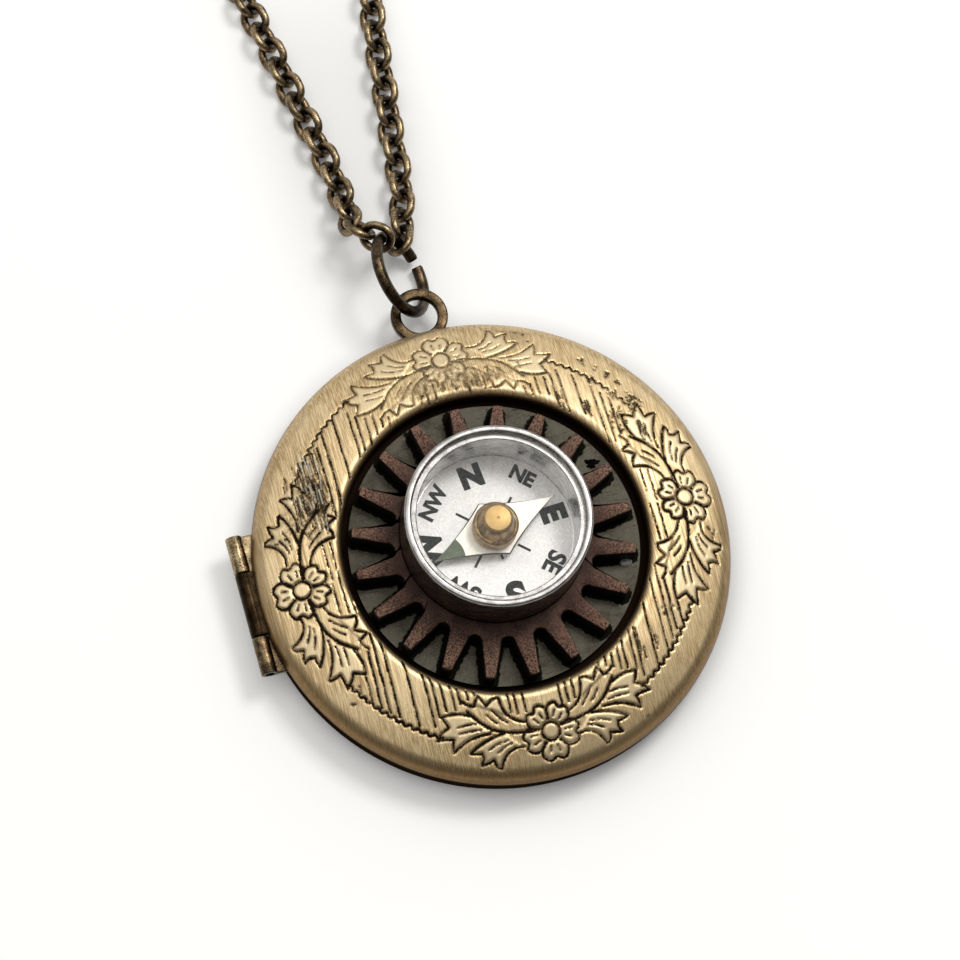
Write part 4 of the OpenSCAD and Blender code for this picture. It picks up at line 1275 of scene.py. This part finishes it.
def hub():
    """A turned brass cap: a dark stepped skirt and a bright top with a centre dot, darker and lighter copies
    of one brass as painted shade and painted light.
    """
    centre, r, low, high = round_node("needle_hub")
    foot = node_box("needle")[1][2] + 0.03
    top_r = HUB_TOP_R
    skirt = [(0.36, low), (top_r, low), (top_r, foot), (r - 0.06, foot), (r, foot + 0.06), (r, foot + 0.5),
             (r - 0.05, foot + 0.55), (r - 0.05, foot + 0.62), (r, foot + 0.67), (r, foot + 1.02),
             (r - 0.07, foot + 1.09), (r - 0.2, foot + 1.12), (top_r + 0.14, high - 0.34),
             (top_r + 0.05, high - 0.28)]
    cap = [(top_r, high - 0.24), (top_r, high - 0.07), (top_r - 0.02, high - 0.02), (top_r - 0.07, high),
           (0.1, high), (0.07, high - 0.05), (0.01, high - 0.06)]
    columns = 96
    points, faces = lathe(skirt + cap, columns, centre)
    dark = hub_material("hub_skirt", (0.22, 0.135, 0.065), (0.56, 0.38, 0.18), 0.28)
    bright = hub_material("hub_top", (0.52, 0.34, 0.125), (0.60, 0.41, 0.17), 0.5)
    obj = make_mesh("hub_cap", points, faces, 35, [dark, bright])
    second_material(obj, (len(skirt) - 1) * columns)
    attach(obj, "pointer")
    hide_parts("needle_hub")


# Jump ring and chain, on the same places as in the frame. The ring's cut is given by its width and place.
RING_WIRE = 0.8
RING_R_MID = 2.77
RING_TILT = math.radians(53)
RING_CUT = 0.5
RING_CUT_AT = math.radians(64)
FLOOR_GAP = 0.03
RING_MID_Z = RING_R_MID * math.sin(RING_TILT) + RING_WIRE / 2 + FLOOR_GAP
RING_C = np.array([LOOP_X - 0.53, LOOP_Y + 3.04, RING_MID_Z])
LINK_W, LINK_L, LINK_WIRE, LINK_GAP = 2.13, 2.47, 0.46, 0.12
# Links lie turned to one side and to the other by this much
LINK_TURN = math.radians(45)
# How many links of a strand have their own places in the frame
FRAME_LINKS = 16
RING_GAP = 0.08
PITCH = LINK_L - 2 * LINK_WIRE - LINK_GAP
FIRST_LINK = (LINK_L - 2 * LINK_WIRE - RING_WIRE) / 2 - RING_GAP
REST_Z = (LINK_W - LINK_WIRE) / 2 * math.sin(LINK_TURN) + LINK_WIRE / 2 + FLOOR_GAP
# Where the strands hook into the jump ring, and their routes: along X and Y from the ring's middle, and
# the height above a link at rest on the paper
LEFT_HOOK, RIGHT_HOOK = math.radians(28), math.radians(-26)
LEFT_ROUTE = [
    (-1.6, 3, 2.65), (-2.1, 3.8, 2.35), (-2.35, 5.1, 1.2), (-2.15, 5.9, 0.8), (-2.25, 7.8, 0.2),
    (-2.45, 9.8, 0), (-3.05, 13, 0), (-3.65, 16.3, 0), (-4.25, 19.6, 0), (-4.9, 22.8, 0),
    (-6.1, 28, 0), (-8, 35, 0), (-12, 47, 0), (-17.5, 61, 0), (-24, 77, 0), (-31, 94, 0),
    (-37.5, 112, 0), (-42, 130, 0), (-44, 147, 0), (-42.5, 162, 0), (-37, 175, 0), (-28, 184, 0),
    (-17.5, 189.5, 0), (-11, 190.9, 0.2)]
RIGHT_ROUTE = [
    (0.8, 2.75, 0.75), (1.5, 4.45, 0.25), (1.55, 5.05, 0.25), (1.85, 5.85, 0.25), (2.2, 8.2, 0),
    (2.45, 10.9, 0), (2.8, 13.7, 0), (3.2, 17.4, 0), (3.7, 20.9, 0), (4.9, 27, 0),
    (7, 35, 0), (11.5, 47, 0), (17.5, 61, 0), (24.5, 77, 0), (31.5, 94, 0), (38, 112, 0),
    (42.5, 130, 0), (44.5, 147, 0), (43.5, 162, 0), (39, 174.5, 0), (31.5, 183.5, 0),
    (22.5, 188.5, 0), (14, 190.6, 0)]
CLASP_Y = RING_C[1] + 191
CURVE_STEPS = 8
CLASP_RING_R = 1.9
CLASP_RING_WIRE = 0.6
CLASP_RING_TILT = math.radians(56)


def on_ring(turn):
    """The place at an angle round the jump ring's wire."""
    return RING_C + RING_R_MID * np.array([-math.sin(turn) * math.cos(RING_TILT), math.cos(turn),
                                           math.sin(turn) * math.sin(RING_TILT)])


def strand_curve(hook, route, end):
    """The smooth curve that a strand follows, and the distance along it at each point."""
    places = [RING_C * (1, 1, 0) + (x, y, REST_Z + z) for x, y, z in route]
    curve = rounded_through([on_ring(hook), *places, end], lambda gap: CURVE_STEPS)
    lengths = np.linalg.norm(np.diff(curve, axis=0), axis=1)
    return curve, np.concatenate([[0], np.cumsum(lengths)])


def place_on(curve, along, s):
    """The place at a distance along a curve, going straight on past its ends."""
    k = int(np.clip(np.searchsorted(along, s, "right") - 1, 0, len(along) - 2))
    return curve[k] + (curve[k + 1] - curve[k]) * (s - along[k]) / (along[k + 1] - along[k])


LINK_SIDES = 34
WIRE_SIDES = 14
# How much the drawn wire's radius is over the frame's
WIRE_MORE = 0.045


def chain_strand(name, hook, route, end, past, nodes, material):
    """All the links of one strand, from the jump ring to a little past the end of its curve."""
    curve, along = strand_curve(hook, route, end)
    near_end = FIRST_LINK + (FRAME_LINKS - 1) * PITCH
    rest = along[-1] + past - near_end
    more = round(rest / PITCH)
    places = [FIRST_LINK + i * PITCH for i in range(FRAME_LINKS)]
    places += [near_end + rest * (i + 1) / more for i in range(more)]
    a = ((np.arange(LINK_SIDES) + 0.5) / LINK_SIDES * TAU)[:, None]
    b = np.arange(WIRE_SIDES) / WIRE_SIDES * TAU
    wire_r = LINK_WIRE / 2 + WIRE_MORE
    bend = (LINK_W - LINK_WIRE) / 2
    straight = (LINK_L - LINK_W) / 2
    # Where a link meets its neighbours it stays dark: painted shade
    met = np.abs(np.cos(a)) ** 3 * (np.cos(b) < 0.4)
    blocks, rubs = [], []
    for i, s in enumerate(places):
        way = place_on(curve, along, s + PITCH / 2) - place_on(curve, along, s - FIRST_LINK / 2)
        way /= np.linalg.norm(way)
        side = np.cross(way, (0, 0, 1))
        side /= np.linalg.norm(side)
        turn = LINK_TURN if i % 2 == 0 else -LINK_TURN
        across = math.cos(turn) * side + math.sin(turn) * np.cross(side, way)
        out = np.cos(a) * way + np.sin(a) * across
        middle = place_on(curve, along, s) + np.sign(np.cos(a)) * straight * way + bend * out
        skin = np.cos(b)[:, None] * out[:, None] + np.sin(b)[:, None] * np.cross(way, across)
        blocks.append((middle[:, None] + wire_r * skin).reshape(-1, 3))
        # Lighter on the wire's outer side, where it wears, and on its top, a painted highlight
        rub = unit(np.cos(b) * 0.5 + 0.2) * 0.8 + unit(skin[:, :, 2]) ** 2 * 0.6
        rubs.append(unit(rub * (1 - 0.85 * met)).ravel())
    one = np.array(grid_faces(LINK_SIDES, WIRE_SIDES, "joined"))
    first = np.arange(len(places)) * LINK_SIDES * WIRE_SIDES
    faces = (one[None] + first[:, None, None]).reshape(-1, 4).tolist()
    obj = make_mesh(name, np.concatenate(blocks), faces, 60, [material], rub=np.concatenate(rubs))
    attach(obj, "root")
    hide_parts(*nodes)


def chains(material):
    """Both strands, from the jump ring to the clasp's ring and to the clasp's eye."""
    ring_low, ring_high = node_box("clasp_ring")
    clasp_low, clasp_high = node_box("clasp")
    left_end = (ring_low + ring_high) / 2 - (CLASP_RING_R + CLASP_RING_WIRE / 2 + LINK_GAP, 0, 0)
    right_end = (clasp_high[0] + LINK_GAP, CLASP_Y, (clasp_low[2] + clasp_high[2]) / 2)
    chain_strand("chain_links_left", LEFT_HOOK, LEFT_ROUTE, left_end, 0.02,
                 ("chain_left", "chain_far_left"), material)
    chain_strand("chain_links_right", RIGHT_HOOK, RIGHT_ROUTE, right_end, 0.07,
                 ("chain_right", "chain_far_right"), material)


def wire_ring(name, centre, radius, wire, axes, start, end, node, material, steps=110, sides=22):
    """A ring of round wire, closed or cut. Its plane is given by two axes."""
    closed = abs(end - start - TAU) < 1e-6
    turns = np.linspace(start, end, steps + 1)[: steps if closed else steps + 1]
    b = np.arange(sides)[:, None] / sides * TAU
    first, second = (np.array(v, float) for v in axes)
    normal = np.cross(first, second)
    sizes = np.ones(len(turns))
    if not closed:
        sizes[[0, -1]] = 0.86
    rows, rub = [], []
    for a, size in zip(turns, sizes):
        out = math.cos(a) * first + math.sin(a) * second
        way = np.cos(b) * out + np.sin(b) * normal
        rows.append(centre + radius * out + wire / 2 * size * way)
        # Painted highlight: lighter on the top of the wire
        rub.append(unit(way[:, 2]) ** 2 * 0.8)
    faces = grid_faces(len(rows), sides, "joined" if closed else "capped")
    obj = make_mesh(name, np.concatenate(rows), faces, 50, [material], rub=np.concatenate(rub))
    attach(obj, "root")
    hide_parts(node)


def rings(material):
    """The cut jump ring and the closed ring at the clasp."""
    cut = RING_CUT / RING_R_MID
    start = math.pi / 2 + RING_CUT_AT + cut / 2
    tilt = ((-math.cos(RING_TILT), 0, math.sin(RING_TILT)), (0, 1, 0))
    wire_ring("cut_jump_ring", RING_C, RING_R_MID, RING_WIRE, tilt, start, start + TAU - cut, "jump_ring",
              material)
    low, high = node_box("clasp_ring")
    tilt = ((1, 0, 0), (0, math.cos(CLASP_RING_TILT), math.sin(CLASP_RING_TILT)))
    wire_ring("clasp_end_ring", (low + high) / 2, CLASP_RING_R, CLASP_RING_WIRE, tilt, 0, TAU, "clasp_ring",
              material)


def new_materials(obj, rub, *materials):
    """Gives one of the frame's own pieces new materials, evenly rubbed."""
    obj.data.materials.clear()
    for material in materials:
        obj.data.materials.append(material)
    point_attribute(obj, "rub", np.full(len(obj.data.vertices), rub))


def keep_node(name, material):
    """The frame's own piece, with a new material."""
    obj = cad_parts[name]
    new_materials(obj, 0.4, material)


def clasp(material, worn_material):
    """The frame's own clasp, with its edges rounded and rubbed bright."""
    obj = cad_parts["clasp"]
    new_materials(obj, 0.3, material, worn_material)
    rounding = obj.modifiers.new("rounding", "BEVEL")
    rounding.material = 1
    rounding.width = 0.22 * MM
    rounding.segments = 4
    rounding.limit_method = "ANGLE"
    rounding.angle_limit = math.radians(50)


camera()
studio()
floor()
# The bronzes: how strongly each is rubbed, how light and how even it is
BRONZE = bronze_material("dark_bronze", 0.85)
DARKER = bronze_material("darker_bronze", 0.9, 0.7)
CLASP_BRONZE = bronze_material("clasp_bronze", 0.6, 0.9, 0.5)
WORN_BRONZE = bronze_material("worn_bronze", 0.8, 2.6, 0.85)
RING_BRONZE = bronze_material("ring_bronze", 0.3, 0.3)
lid(RING_BRONZE)
back_cover(DARKER)
backing_disc()
sun_gear()
compass_case()
dial_print()
needle()
hub()
GLUE = paint_material("glue_film", (0.13, 0.13, 0.11), (0.30, 0.29, 0.25), 0.1)
BLOT = paint_material("blot_film", (0.002, 0.002, 0.002), (0.007, 0.005, 0.005), 0.6, 0.0)
drop("glue_drop", GLUE_AT, 0.42, 0.14, GLUE)
drop("dark_blot", BLOT_AT, 0.46, 0.05, BLOT, 0.2)
chains(BRONZE)
rings(RING_BRONZE)
clasp(CLASP_BRONZE, WORN_BRONZE)
keep_node("hinge_pin", BRONZE)
keep_node("compass_dial", dial_material())
keep_node("compass_lens", lens_material())
keep_node("pivot_pin", steel_material())
